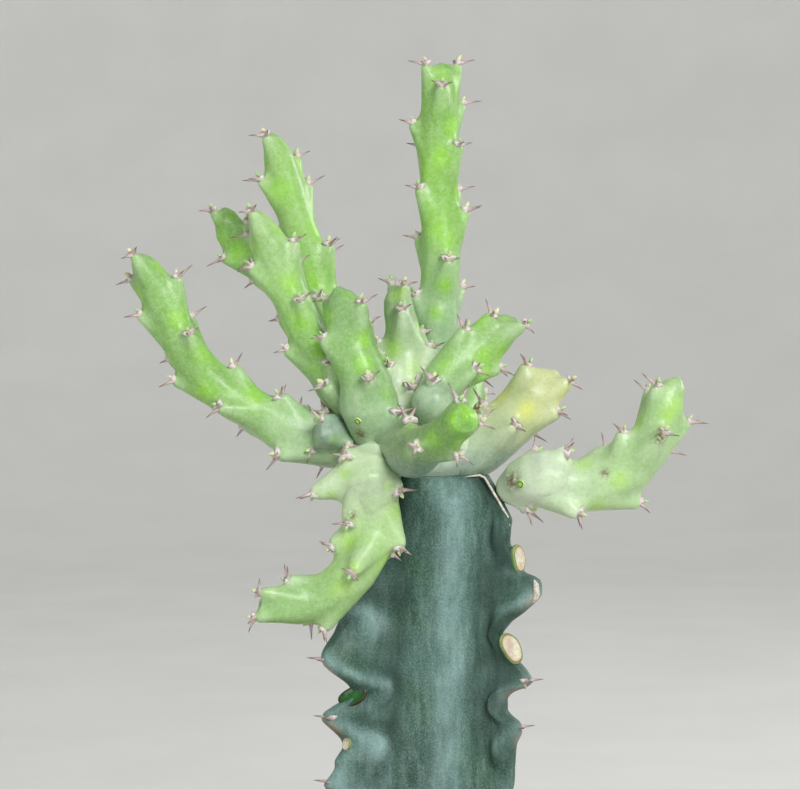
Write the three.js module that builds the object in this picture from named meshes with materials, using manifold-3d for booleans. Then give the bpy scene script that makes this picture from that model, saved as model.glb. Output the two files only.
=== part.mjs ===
import * as THREE from "three";
import { mergeVertices } from "three/addons/utils/BufferGeometryUtils.js";
import Module from "manifold-3d";

// A young Euphorbia clivicola cluster grafted on a three-winged rootstock, in a plain clay pot.
// Millimetres, +Z up. The origin is on the floor under the centre of the pot.
// The viewer stands on the -Y side, with +X to the right.

// Clay pot, turned round the Z axis.
const POT_HEIGHT = 92;
const POT_BASE_RADIUS = 34;
const POT_RIM_RADIUS = 52.5;
const POT_RIM_BAND = 22;
const POT_RIM_STEP = 3;
const POT_WALL = 5;
const POT_FLOOR = 5;
const POT_DRAIN_RADIUS = 6;
const POT_EDGE = 1;
const POT_INSIDE_FILLET = 0.5;
const POT_SIDES = 32;

// Soil inside the pot, with grit on top.
const SOIL_TOP = 82;
const SOIL_CROWN = 1.5;
const SOIL_SHOULDER = 0.6;
const SOIL_SHOULDER_RISE = 0.8;
const GRIT_COUNT = 30;
const GRIT_SMALLEST = 1.1;
const GRIT_LARGEST = 2.4;
const GRIT_NEAREST = 14;
const GRIT_SHAPE = [1, 0.8, 0.65];
const GRIT_RAISED = 0.2;
const GRIT_SEED = 11;

// Room left between pieces that touch.
const CLEARANCE = 0.3;

// Rootstock: a stem with three wings, standing a little to the right of the pot's middle.
const STOCK_X = 4.2;
const STOCK_FOOT = 47;
const STOCK_TOP = 171.5;
const STOCK_RING_GAP = 1.3;
const STOCK_VALLEY = 11;
const STOCK_VALLEY_TURN = 34;
const STOCK_BULGE = 12.8;
const STOCK_BULGE_TURN = 60;
const STOCK_SLENDER_BELOW = 15.8;
const WING_EDGE = 1.7;
const WING_SHOULDER = 3.9;
const WING_SHOULDER_AT = 0.74;
const STOCK_SPINE_LENGTH = 2.6;
const STOCK_SPINE_RADIUS = 0.38;
const STOCK_SPINE_SPREAD = 2.2;
const STOCK_SPINE_RISE = 0.8;

// Each wing: its bearing in degrees from the viewer towards +X, and its margin as [height, reach].
const WINGS = [
  {
    bearing: 60,
    margin: [
      [47, 10], [76, 16], [82, 18], [90, 17], [97.5, 22.5], [103, 17.5], [110, 19.2], [116, 19.6],
      [121.8, 22], [124, 17.8], [127, 16.7], [131, 23], [134, 20], [140.5, 17.4], [144.5, 19.6],
      [148.4, 24.2], [151.5, 21.2], [154, 19.6], [159, 18.7], [163, 18.2], [171.5, 12.8],
    ],
    teeth: [97.5, 121.8, 131, 148.4],
  },
  {
    bearing: 180,
    margin: [
      [47, 10], [76, 16], [84, 18], [90, 22.5], [94, 17.5], [101, 23], [106, 17.5],
      [114, 23.4], [118, 18], [126, 24], [131, 18], [139, 23.5], [143, 18],
      [152, 23.5], [156, 19], [163, 18.2], [171.5, 12.8],
    ],
    teeth: [90, 101, 114, 126, 139, 152],
  },
  {
    bearing: -60,
    margin: [
      [47, 10], [76, 16], [84, 18.5], [90, 17.5], [97.5, 23.5], [103, 18], [110.5, 24],
      [115.5, 20.1], [119, 18.5], [124.2, 23.8], [128.3, 17.8], [131, 18.9], [135.5, 24.2],
      [139.5, 18.9], [148.4, 23.6], [155, 18.8], [163, 18.2], [171.5, 12.8],
    ],
    teeth: [97.5, 110.5, 124.2, 135.5, 148.4],
  },
];

// Healed cuts on the wing margins: [bearing, height, reach, half width, half height].
const STOCK_SCARS = [
  [60, 156.3, 19.4, 2.1, 2.9],
  [60, 137, 18.2, 2.1, 3.3],
  [-60, 128.5, 17, 1.9, 2.4],
  [-60, 119.5, 17.4, 1.3, 1.5],
];

const SCAR_SIDES = 7;
const SCAR_ROWS = 5;

// Swollen foot of the middle stem, which the other stems grow from, as balls of [x, y, z, radius].
const FOOT_BALLS = [
  [4, 0, 176.5, 9.8],
  [-1.5, 0, 185, 7.2],
  [6.5, 2, 190, 6.6],
  [-8, 1, 182, 5.6],
];

// Stems: round tubes with a tooth at every spine pair.
const STEM_SIDES = 6;
const STEM_FULLNESS = 1.08;
const STEM_RING_STEP = 7;
const TOOTH_LEAD = 5;
const TOOTH_REACH = 1.8;
const TOOTH_ROOT = 0.9;
const TOOTH_TIP_RADIUS = 0.95;
const SPINE_SIDES = 3;
const SPINE_RADIUS = 0.3;
const SPINE_SHORTEST = 2;
const SPINE_LONGEST = 3.8;
const SPINE_SUNK = 0.7;
const SPINE_GAP = 0.42;
const SPINE_SPREAD = 0.62;
const SPINE_LIFT = 0.3;

// Spine pairs that the viewer doesn't see stand in opposite twos, each two a quarter turn on.
const PAIR_STEP = 9;
const PAIR_FIRST = 5;
const PAIR_LAST_FROM_TIP = 3;
const PAIR_CLEAR = 5.2;
const DRAW_STEP = 101;

// Each stem: its axis as [x, y, z, radius] from foot to tip, and its seen teeth as
// [distance along the axis, turn from the side that faces the viewer].
const STEMS = {
  stem_centre: {
    swollen: true,
    axis: [
      [-1, -2, 185, 4], [-0.5, -1, 190.5, 4.8], [-0.5, 0, 195.5, 4], [-1, 0, 201, 3.4],
      [-2, 0, 205, 2.9], [-2, 0, 208, 1.8],
    ],
    teeth: [[3, 15], [7, -35], [11.5, 85], [13, -90], [19.5, 10], [23, -160], [23, 25]],
  },
  stem_tall: {
    axis: [
      [6, 8, 196, 3.6], [6, 8, 201, 4.4], [6.5, 9, 207.5, 4], [7, 9, 215.5, 3.9],
      [6.5, 10, 224.5, 3.9], [6.5, 10, 234, 3.8], [6.5, 10, 243, 3.9], [7, 10, 249, 3.5],
      [7, 10, 252.5, 1.8],
    ],
    teeth: [
      [10, -65], [12.5, 125], [18, 15], [23, -120], [27.5, 90], [32.5, -50], [41, 50],
      [45.5, -90], [50, 120], [53, 0], [56, -60], [56, 115],
    ],
  },
  stem_left_upper: {
    axis: [
      [-10, -2, 184.5, 4.4], [-14, 0, 189, 4.6], [-17.5, 0, 195, 4], [-20.5, 0, 200.5, 3.8],
      [-23, 0, 206, 3.8], [-25.5, 0, 211.5, 3.8], [-27.5, 0, 217, 3.8], [-29, 0, 220.5, 2.8],
      [-30, 0, 223, 1.6],
    ],
    teeth: [[7.5, -20], [11.5, 15], [17.5, -85], [25, 20], [34.5, -70], [36.5, 75], [43.5, -10]],
  },
  stem_front: {
    axis: [
      [-4, -9, 179, 3.4], [-1, -16, 177.5, 4.9], [3, -24, 178, 5], [7, -31, 181, 4.6],
      [9.5, -37, 184, 4.1], [11, -41, 186, 2.4],
    ],
    facing: [0, 0, 1],
    teeth: [[11, -30], [20, 50], [29, -85], [29, 115], [29.5, -15], [36, 40], [36.5, 165]],
  },
  stem_right_upper: {
    axis: [
      [5, -9, 184, 3.4], [5.5, -9, 187, 3.8], [7.5, -8, 190.5, 4.5], [11, -6, 194, 4.8],
      [14.5, -5, 197, 4.4], [18, -4, 199.5, 4.2], [21, -4, 201.5, 2.2],
    ],
    teeth: [[5, -25], [11.5, 25], [16.5, -55], [17.5, 80], [24, -55], [25.3, 20]],
  },
  stem_right_long: {
    axis: [
      [19, -7, 168.5, 4.2], [22.5, -9, 170.5, 5.5], [27, -10, 171, 6], [32, -10, 169.5, 5.5],
      [37.5, -10, 170, 5.3], [43, -10, 172, 4.9], [47, -10, 176.5, 4.5], [49.5, -10, 181.5, 4.3],
      [51, -10, 186, 4.1], [53, -10, 190, 2.2],
    ],
    teeth: [
      [1.5, 70], [5, -10], [9, -70], [14, 45], [23, -110], [23.5, 85], [31, -80], [35, 10],
      [38, 105], [42.5, -50], [46.5, 40],
    ],
  },
  stem_low_left: {
    axis: [
      [-5, -8, 178.5, 3.4], [-7, -14, 175, 5.1], [-7.5, -17, 170.5, 5.6], [-6.5, -17, 165, 5.2],
      [-6.5, -18, 161, 5], [-8.5, -19, 157, 4.9], [-11, -20, 153, 4.8], [-15.5, -20, 149.5, 4.6],
      [-20.5, -21, 147.5, 4.2], [-25, -22, 147.5, 3.5], [-28, -22, 148, 1.7],
    ],
    teeth: [
      [9.5, 50], [13.5, -55], [20.5, 55], [22.5, -60], [27.5, 90], [30.5, 5], [40, -85],
      [45.5, 85], [50.5, 40], [50.5, -50],
    ],
    // The old base has one large tooth that points away to the left.
    largeTeeth: [{ at: 14.5, turn: 90, reach: 5.6, lead: 3, root: 1 }],
  },
  stem_left_long: {
    axis: [
      [-10, -1, 176.5, 4.8], [-17.5, -3, 178, 5.2], [-23.5, -4, 180, 5], [-29, -4, 183.5, 4.2],
      [-35, -4, 186.5, 4], [-40, -4, 191, 4], [-44.5, -4, 197, 3.9], [-47, -4, 202.5, 3.8],
      [-49.5, -4, 208, 3.7], [-52, -4, 212.5, 2.8], [-53.5, -4, 214.5, 1.6],
    ],
    teeth: [
      [14.5, -50], [19.5, 65], [28.5, -25], [31.5, 90], [37.5, -85], [43.5, 30], [46.5, 140],
      [51, -85], [54.5, 75], [58.5, -125], [61, 0],
    ],
  },
  stem_left_front: {
    axis: [
      [-7, -7, 180.5, 4.4], [-7.5, -8, 185.5, 5.7], [-8.5, -7, 190.5, 5.1], [-10.5, -6, 195.5, 4.6],
      [-11.5, -5, 200, 4.4], [-12.5, -5, 204.5, 4.1], [-13.5, -5, 207.5, 2.4],
    ],
    teeth: [[4, 50], [9, 10], [20, -65], [21.5, 140], [25.5, 45], [28, -140]],
  },
  stem_yellow: {
    axis: [
      [11, -2, 173.5, 4.4], [14, -1, 175.5, 5.2], [18.5, 0, 179.5, 5.4], [22.5, 0, 183.5, 5.4],
      [26, 0, 187.5, 5], [29, 0, 190.5, 2.8],
    ],
    teeth: [[11.5, -75], [13.5, 5], [21, 60], [23, -75], [24.5, 40]],
  },
  stem_knob: {
    axis: [[-11, 1, 181, 3.2], [-14, -5, 180.5, 3.9], [-16, -9, 180.5, 3.9], [-17, -12, 180.5, 2.4]],
    facing: [0, 0, 1],
    teeth: [[11.5, 0], [11.5, 130], [12, -120]],
  },
  stem_back_left: {
    axis: [
      [-4.5, 8, 188.5, 3.6], [-11, 14, 196, 4.1], [-17, 17, 204.5, 3.9], [-19.5, 18, 213, 3.8],
      [-22.5, 18, 221, 3.6], [-25, 18, 229.5, 3.6], [-26.5, 18, 235, 3.1], [-27.5, 18, 238.5, 1.6],
    ],
    teeth: [[23.5, -5], [33.5, 65], [40, -145], [47, 120], [50.5, -70], [53, 130], [57.5, -20]],
  },
  stem_far_back: {
    axis: [
      [-7, 12, 188, 3.4], [-11.5, 20, 192.5, 3.7], [-18, 28, 199.5, 3.7], [-24.5, 32, 206.5, 3.8],
      [-30.5, 34, 212, 3.6], [-35, 34, 216, 3.5], [-37, 33, 219.5, 3.5], [-38, 33, 223, 1.9],
    ],
    teeth: [[43, -15], [48, -60], [52, 60], [55.5, -40]],
  },
  stem_rear_right: {
    axis: [
      [5, 7, 178, 3.4], [8, 17, 179.5, 4.1], [11, 26, 181.5, 4], [12.5, 33, 185.5, 3.8],
      [13, 37, 189, 3.6], [13, 38, 191.5, 2.1],
    ],
    teeth: [[34, 0], [36, 180]],
  },
  stem_rear_low: {
    axis: [
      [3.5, 6, 175.5, 3], [5, 18, 173, 4.5], [6.5, 28, 167.5, 5], [7.5, 34, 161.5, 4.6],
      [6, 37, 155.5, 4.2], [4.5, 37, 152.5, 2.8],
    ],
    teeth: [[40, 90], [41, -90]],
  },
};

const COLOURS = {
  pot: "#b4683f",
  soil: "#51402f",
  rootstock: "#5d7f74",
  stem_centre: "#b9cfab",
  stem_yellow: "#c3d09a",
  stem_right_long: "#b5d69c",
  stem_low_left: "#a9cf8e",
  stem_knob: "#93ad98",
};
const STEM_COLOUR = "#8fc465";
const ROUGHNESS = { pot: 0.85, soil: 0.95 };
const PLANT_ROUGHNESS = 0.5;

const wasm = await Module();
wasm.setup();

// A repeatable draw of numbers from 0 to 1.
function draws(seed) {
  let state = seed;
  return () => {
    state = (state * 1664525 + 1013904223) % 4294967296;
    return state / 4294967296;
  };
}

function radians(degrees) {
  return THREE.MathUtils.degToRad(degrees);
}

function solidOf(geometry) {
  const bare = geometry.index ? geometry.toNonIndexed() : geometry.clone();
  bare.deleteAttribute("normal");
  bare.deleteAttribute("uv");
  const merged = mergeVertices(bare, 1e-4);
  return new wasm.Manifold(
    new wasm.Mesh({
      numProp: 3,
      vertProperties: merged.attributes.position.array,
      triVerts: new Uint32Array(merged.index.array),
    }),
  );
}

function geometryOf(solid) {
  const mesh = solid.getMesh();
  const geometry = new THREE.BufferGeometry();
  geometry.setAttribute("position", new THREE.BufferAttribute(mesh.vertProperties, 3));
  geometry.setIndex(new THREE.BufferAttribute(mesh.triVerts, 1));
  geometry.computeVertexNormals();
  return geometry;
}

function joined(solids) {
  return wasm.Manifold.union(solids);
}

// The largest body of a solid: loose scraps are dropped and sealed hollows are filled.
function mainBody(solid) {
  const bodies = solid.decompose();
  return bodies.reduce((best, body) => (body.volume() > best.volume() ? body : best));
}

// A closed skin over rings of points, each anticlockwise seen from the last ring's side.
function loft(rings) {
  const sides = rings[0].length;
  const points = rings.flat();
  const index = [];
  for (let ring = 0; ring + 1 < rings.length; ring++) {
    for (let side = 0; side < sides; side++) {
      const a = ring * sides + side;
      const b = ring * sides + ((side + 1) % sides);
      index.push(a, b, b + sides, a, b + sides, a + sides);
    }
  }
  const middles = [rings[0], rings[rings.length - 1]].map((ring) =>
    ring.reduce((sum, point) => sum.add(point), new THREE.Vector3()).divideScalar(sides),
  );
  const first = points.length;
  const last = (rings.length - 1) * sides;
  for (let side = 0; side < sides; side++) {
    const next = (side + 1) % sides;
    index.push(first, next, side);
    index.push(first + 1, last + side, last + next);
  }
  const geometry = new THREE.BufferGeometry().setFromPoints([...points, ...middles]);
  geometry.setIndex(index);
  return solidOf(geometry);
}

// A straight round taper from one point to another.
function taper(from, to, fromRadius, toRadius, sides) {
  const along = to.clone().sub(from);
  const geometry = new THREE.CylinderGeometry(toRadius, fromRadius, along.length(), sides);
  geometry.translate(0, along.length() / 2, 0);
  const up = new THREE.Vector3(0, 1, 0);
  geometry.applyQuaternion(new THREE.Quaternion().setFromUnitVectors(up, along.normalize()));
  geometry.translate(from.x, from.y, from.z);
  return solidOf(geometry);
}

function lathe(profile) {
  const points = profile.map(([radius, height]) => new THREE.Vector2(radius, height));
  const geometry = new THREE.LatheGeometry(points, POT_SIDES);
  geometry.rotateX(Math.PI / 2);
  return solidOf(geometry);
}

// Inside of the pot: the radius of its bore at a height.
function boreRadius(height) {
  const foot = POT_BASE_RADIUS - POT_WALL + POT_INSIDE_FILLET;
  const mouth = POT_RIM_RADIUS - POT_WALL - POT_INSIDE_FILLET;
  return THREE.MathUtils.mapLinear(height, POT_FLOOR, POT_HEIGHT - POT_EDGE, foot, mouth);
}

function makePot() {
  const bandFoot = POT_HEIGHT - POT_RIM_BAND;
  const neck = boreRadius(bandFoot) + POT_WALL;
  return lathe([
    [POT_DRAIN_RADIUS, 0],
    [POT_BASE_RADIUS, 0],
    [POT_BASE_RADIUS + POT_EDGE / 2, POT_EDGE],
    [neck, bandFoot],
    [neck + POT_RIM_STEP, bandFoot + POT_EDGE],
    [POT_RIM_RADIUS, POT_HEIGHT - POT_EDGE],
    [POT_RIM_RADIUS - POT_EDGE, POT_HEIGHT],
    [boreRadius(POT_HEIGHT) + POT_EDGE, POT_HEIGHT],
    [boreRadius(POT_HEIGHT - POT_EDGE), POT_HEIGHT - POT_EDGE],
    [boreRadius(POT_FLOOR), POT_FLOOR],
    [POT_DRAIN_RADIUS, POT_FLOOR],
    [POT_DRAIN_RADIUS, 0],
  ]);
}

function makeSoil() {
  const foot = POT_FLOOR + CLEARANCE;
  const bed = lathe([
    [0, foot],
    [boreRadius(foot) - CLEARANCE, foot],
    [boreRadius(SOIL_TOP) - CLEARANCE, SOIL_TOP],
    [boreRadius(SOIL_TOP) * SOIL_SHOULDER, SOIL_TOP + SOIL_CROWN * SOIL_SHOULDER_RISE],
    [0, SOIL_TOP + SOIL_CROWN],
  ]);
  const draw = draws(GRIT_SEED);
  const grit = [];
  const outermost = boreRadius(SOIL_TOP) - GRIT_LARGEST - CLEARANCE;
  for (let count = 0; count < GRIT_COUNT; count++) {
    const size = THREE.MathUtils.lerp(GRIT_SMALLEST, GRIT_LARGEST, draw());
    const bearing = draw() * 2 * Math.PI;
    const reach = THREE.MathUtils.lerp(GRIT_NEAREST, outermost, Math.sqrt(draw()));
    const stone = new THREE.IcosahedronGeometry(size, 0);
    stone.scale(...GRIT_SHAPE);
    stone.rotateZ(draw() * Math.PI);
    const height = SOIL_TOP + SOIL_CROWN * (1 - reach / outermost) + size * GRIT_RAISED;
    stone.translate(reach * Math.cos(bearing), reach * Math.sin(bearing), height);
    grit.push(solidOf(stone));
  }
  return mainBody(joined([bed, ...grit]).subtract(makeRootstock(CLEARANCE)));
}

// How far a wing's margin stands out at a height.
function marginReach(wing, height) {
  const { margin } = wing;
  const above = margin.findIndex(([z]) => z >= height);
  if (above < 1) return margin[above === 0 ? 0 : margin.length - 1][1];
  const [lowZ, lowReach] = margin[above - 1];
  const [highZ, highReach] = margin[above];
  return THREE.MathUtils.mapLinear(height, lowZ, highZ, lowReach, highReach);
}

// A point of the rootstock: out along a bearing, then sideways, anticlockwise seen from above.
function stockPoint(bearing, out, aside, height) {
  const turn = radians(bearing);
  return new THREE.Vector3(
    STOCK_X + out * Math.sin(turn) + aside * Math.cos(turn),
    -out * Math.cos(turn) + aside * Math.sin(turn),
    height,
  );
}

// Outline of the rootstock at a height: three wings with a shallow valley on each side of a face.
function stockRing(height, level, grow) {
  return WINGS.flatMap((wing) => {
    const reach = marginReach(wing, height);
    const shrink = Math.min(1, reach / STOCK_SLENDER_BELOW);
    const shoulder = reach * WING_SHOULDER_AT;
    const sideways = (turn, out) => stockPoint(wing.bearing + turn, out + grow, 0, level);
    return [
      sideways(-STOCK_VALLEY_TURN, STOCK_VALLEY * shrink),
      stockPoint(wing.bearing, shoulder + grow, -WING_SHOULDER * shrink - grow, level),
      stockPoint(wing.bearing, reach + grow, -WING_EDGE * shrink - grow, level),
      stockPoint(wing.bearing, reach + grow, WING_EDGE * shrink + grow, level),
      stockPoint(wing.bearing, shoulder + grow, WING_SHOULDER * shrink + grow, level),
      sideways(STOCK_VALLEY_TURN, STOCK_VALLEY * shrink),
      sideways(STOCK_BULGE_TURN, STOCK_BULGE * shrink),
    ];
  });
}

function makeRootstock(grow = 0) {
  const heights = [...new Set(WINGS.flatMap((wing) => wing.margin.map(([z]) => z)))]
    .sort((a, b) => a - b)
    .filter((z, i, all) => i === 0 || z === STOCK_TOP || z - all[i - 1] > STOCK_RING_GAP);
  const levels = heights.map((z, i) => {
    if (i === 0) return z - grow;
    return i === heights.length - 1 ? z + grow : z;
  });
  const body = loft(heights.map((z, i) => stockRing(z, levels[i], grow)));
  const pieces = [body];
  for (const wing of WINGS) {
    for (const z of wing.teeth) {
      const reach = marginReach(wing, z);
      for (const hand of [-1, 1]) {
        const root = stockPoint(wing.bearing, reach - SPINE_SUNK, hand * SPINE_GAP, z);
        const tip = stockPoint(
          wing.bearing,
          reach + STOCK_SPINE_LENGTH,
          hand * STOCK_SPINE_SPREAD,
          z + STOCK_SPINE_RISE,
        );
        pieces.push(taper(root, tip, STOCK_SPINE_RADIUS + grow, grow, SPINE_SIDES));
      }
    }
  }
  for (const [bearing, z, reach, wide, high] of STOCK_SCARS) {
    const scar = new THREE.SphereGeometry(1, SCAR_SIDES, SCAR_ROWS);
    scar.scale(wide + grow, wide + grow, high + grow);
    const place = stockPoint(bearing, reach, 0, z);
    scar.translate(place.x, place.y, place.z);
    pieces.push(solidOf(scar));
  }
  return mainBody(joined(pieces));
}

// The axis of a stem, with its radius and its outward directions at any distance from the foot.
function stemAxis(stem) {
  const points = stem.axis.map(([x, y, z]) => new THREE.Vector3(x, y, z));
  const curve = new THREE.CatmullRomCurve3(points, false, "catmullrom", 0.5);
  const length = curve.getLength();
  const facing = new THREE.Vector3(...(stem.facing ?? [0, -1, 0]));
  const share = (at) => THREE.MathUtils.clamp(at / length, 0, 1);
  return {
    length,
    centre: (at) => curve.getPointAt(share(at)),
    along: (at) => curve.getTangentAt(share(at)),
    radius: (at) => {
      const place = curve.getUtoTmapping(share(at)) * (points.length - 1);
      const before = Math.min(Math.floor(place), points.length - 2);
      return THREE.MathUtils.lerp(
        stem.axis[before][3],
        stem.axis[before + 1][3],
        place - before,
      );
    },
    outward: (at, turn) => {
      const along = curve.getTangentAt(share(at));
      const front = facing.clone().projectOnPlane(along).normalize();
      const side = along.clone().cross(front);
      return front
        .multiplyScalar(Math.cos(radians(turn)))
        .addScaledVector(side, Math.sin(radians(turn)));
    },
  };
}

function makeTube(axis, grow) {
  const count = Math.round(axis.length / STEM_RING_STEP);
  const rings = [];
  for (let ring = 0; ring <= count; ring++) {
    const at = (axis.length * ring) / count;
    const centre = axis.centre(at);
    const points = [];
    for (let side = 0; side < STEM_SIDES; side++) {
      const outward = axis.outward(at, (360 * side) / STEM_SIDES);
      points.push(centre.clone().addScaledVector(outward, axis.radius(at) * STEM_FULLNESS + grow));
    }
    rings.push(points);
  }
  return loft(rings);
}

function toothApex(axis, tooth) {
  const reach = axis.radius(tooth.at) + (tooth.reach ?? TOOTH_REACH);
  return axis.centre(tooth.at).addScaledVector(axis.outward(tooth.at, tooth.turn), reach);
}

// A tooth leans to the tip of the stem: a short upper side and a long slope below.
function makeTooth(axis, tooth, draw, grow) {
  const apex = toothApex(axis, tooth);
  const rootAt = Math.max(tooth.at - (tooth.lead ?? TOOTH_LEAD), 0);
  const foot = axis.centre(rootAt);
  const rootRadius = axis.radius(rootAt) * (tooth.root ?? TOOTH_ROOT);
  const outward = axis.outward(tooth.at, tooth.turn);
  const along = axis.along(tooth.at);
  const across = along.clone().cross(outward);
  const lean = apex.clone().sub(foot).normalize();
  const edge = lean.clone().cross(across).normalize();
  const corners = (middle, radius) =>
    [across, edge, across.clone().negate(), edge.clone().negate()].map((heading) =>
      middle.clone().addScaledVector(heading, radius + grow),
    );
  const tip = apex.clone().addScaledVector(lean, grow);
  const pieces = [loft([corners(foot, rootRadius), corners(tip, TOOTH_TIP_RADIUS)])];
  for (const hand of [-1, 1]) {
    const heading = outward
      .clone()
      .addScaledVector(across, hand * SPINE_SPREAD)
      .addScaledVector(along, SPINE_LIFT)
      .normalize();
    const length = THREE.MathUtils.lerp(SPINE_SHORTEST, SPINE_LONGEST, draw());
    const root = apex.clone().addScaledVector(across, hand * SPINE_GAP);
    const from = root.clone().addScaledVector(heading, -SPINE_SUNK);
    const to = root.clone().addScaledVector(heading, length);
    pieces.push(taper(from, to, SPINE_RADIUS + grow, grow, SPINE_SIDES));
  }
  return joined(pieces);
}

// The seen teeth of a stem, and the rule's teeth on the sides turned away from the viewer.
function teethOf(stem, axis) {
  const teeth = [
    ...stem.teeth.map(([at, turn]) => ({ at, turn })),
    ...(stem.largeTeeth ?? []),
  ];
  for (let pair = 0; PAIR_FIRST + pair * PAIR_STEP < axis.length - PAIR_LAST_FROM_TIP; pair++) {
    for (const half of [0, 180]) {
      const tooth = { at: PAIR_FIRST + pair * PAIR_STEP, turn: 45 + 90 * (pair % 2) + half };
      const apex = toothApex(axis, tooth);
      const hidden = stem.facing !== undefined || Math.cos(radians(tooth.turn)) < 0;
      const clear = teeth.every((other) => toothApex(axis, other).distanceTo(apex) > PAIR_CLEAR);
      if (hidden && clear) teeth.push(tooth);
    }
  }
  return teeth;
}

// The swollen foot sits flat on top of the rootstock.
function makeFoot(grow) {
  const balls = FOOT_BALLS.map(([x, y, z, radius]) => {
    const ball = new THREE.IcosahedronGeometry(radius + grow, 1);
    ball.translate(x, y, z);
    return solidOf(ball);
  });
  return joined(balls);
}

function makeStem(name, grow = 0) {
  const stem = STEMS[name];
  const axis = stemAxis(stem);
  const draw = draws(name.length * DRAW_STEP);
  const teeth = teethOf(stem, axis).map((tooth) => makeTooth(axis, tooth, draw, grow));
  const foot = stem.swollen ? [makeFoot(grow)] : [];
  return joined([makeTube(axis, grow), ...teeth, ...foot]);
}

function touching(one, other) {
  const a = one.boundingBox();
  const b = other.boundingBox();
  return [0, 1, 2].every((i) => a.min[i] < b.max[i] && b.min[i] < a.max[i]);
}

// The stems are laid in order, and each makes way for what is already there.
const solids = {
  pot: makePot(),
  soil: makeSoil(),
  rootstock: makeRootstock(),
};
const inTheWay = [makeRootstock(CLEARANCE)];
for (const name of Object.keys(STEMS)) {
  const whole = makeStem(name);
  const cutters = inTheWay.filter((other) => touching(whole, other));
  solids[name] = mainBody(whole.subtract(joined(cutters)));
  inTheWay.push(makeStem(name, CLEARANCE));
}

const plant = new THREE.Group();
plant.name = "potted_euphorbia";
for (const [name, solid] of Object.entries(solids)) {
  const material = new THREE.MeshStandardMaterial({
    color: COLOURS[name] ?? STEM_COLOUR,
    roughness: ROUGHNESS[name] ?? PLANT_ROUGHNESS,
    metalness: 0,
  });
  const mesh = new THREE.Mesh(geometryOf(solid), material);
  mesh.name = name;
  plant.add(mesh);
}

export default plant;
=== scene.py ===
import math
import random

import bmesh
import bpy
import numpy as np
from mathutils import Matrix, Vector, noise


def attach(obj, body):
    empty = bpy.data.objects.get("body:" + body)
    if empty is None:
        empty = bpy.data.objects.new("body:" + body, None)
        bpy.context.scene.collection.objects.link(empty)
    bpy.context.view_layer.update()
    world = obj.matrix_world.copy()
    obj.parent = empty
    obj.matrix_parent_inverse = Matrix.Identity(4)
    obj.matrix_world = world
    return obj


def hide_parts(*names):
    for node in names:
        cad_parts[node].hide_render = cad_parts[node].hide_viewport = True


# A grafted Euphorbia clivicola in its clay pot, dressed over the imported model.
# Lists of sizes are in millimetres. Everything in the scene is in metres.

bl_info = {
    "name": "Potted euphorbia",
    "version": (1, 0, 0),
    "blender": (4, 5, 0),
    "location": "View3D > Sidebar > Euphorbia",
    "description": "Models the skin, spines, leaf buds, pot and soil of a grafted euphorbia",
    "category": "Add Mesh",
}

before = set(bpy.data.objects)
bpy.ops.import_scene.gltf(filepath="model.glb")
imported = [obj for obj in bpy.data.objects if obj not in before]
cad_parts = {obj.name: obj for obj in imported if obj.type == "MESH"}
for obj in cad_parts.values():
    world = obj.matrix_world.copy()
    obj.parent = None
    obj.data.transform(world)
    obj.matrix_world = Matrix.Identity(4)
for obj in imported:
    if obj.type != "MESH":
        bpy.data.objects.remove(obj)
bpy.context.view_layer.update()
MM = 0.001

# What the camera sees: the photograph's frame is 160 mm wide at the middle of the plant.
VIEW_CENTRE = (-1.4, 0, 187)
VIEW_DISTANCE = 650
VIEW_RISE = 4
VIEW_LENS = 146.25
SENSOR_WIDTH = 36
PHOTO_WIDTH = 800
PHOTO_HEIGHT = 789

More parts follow.
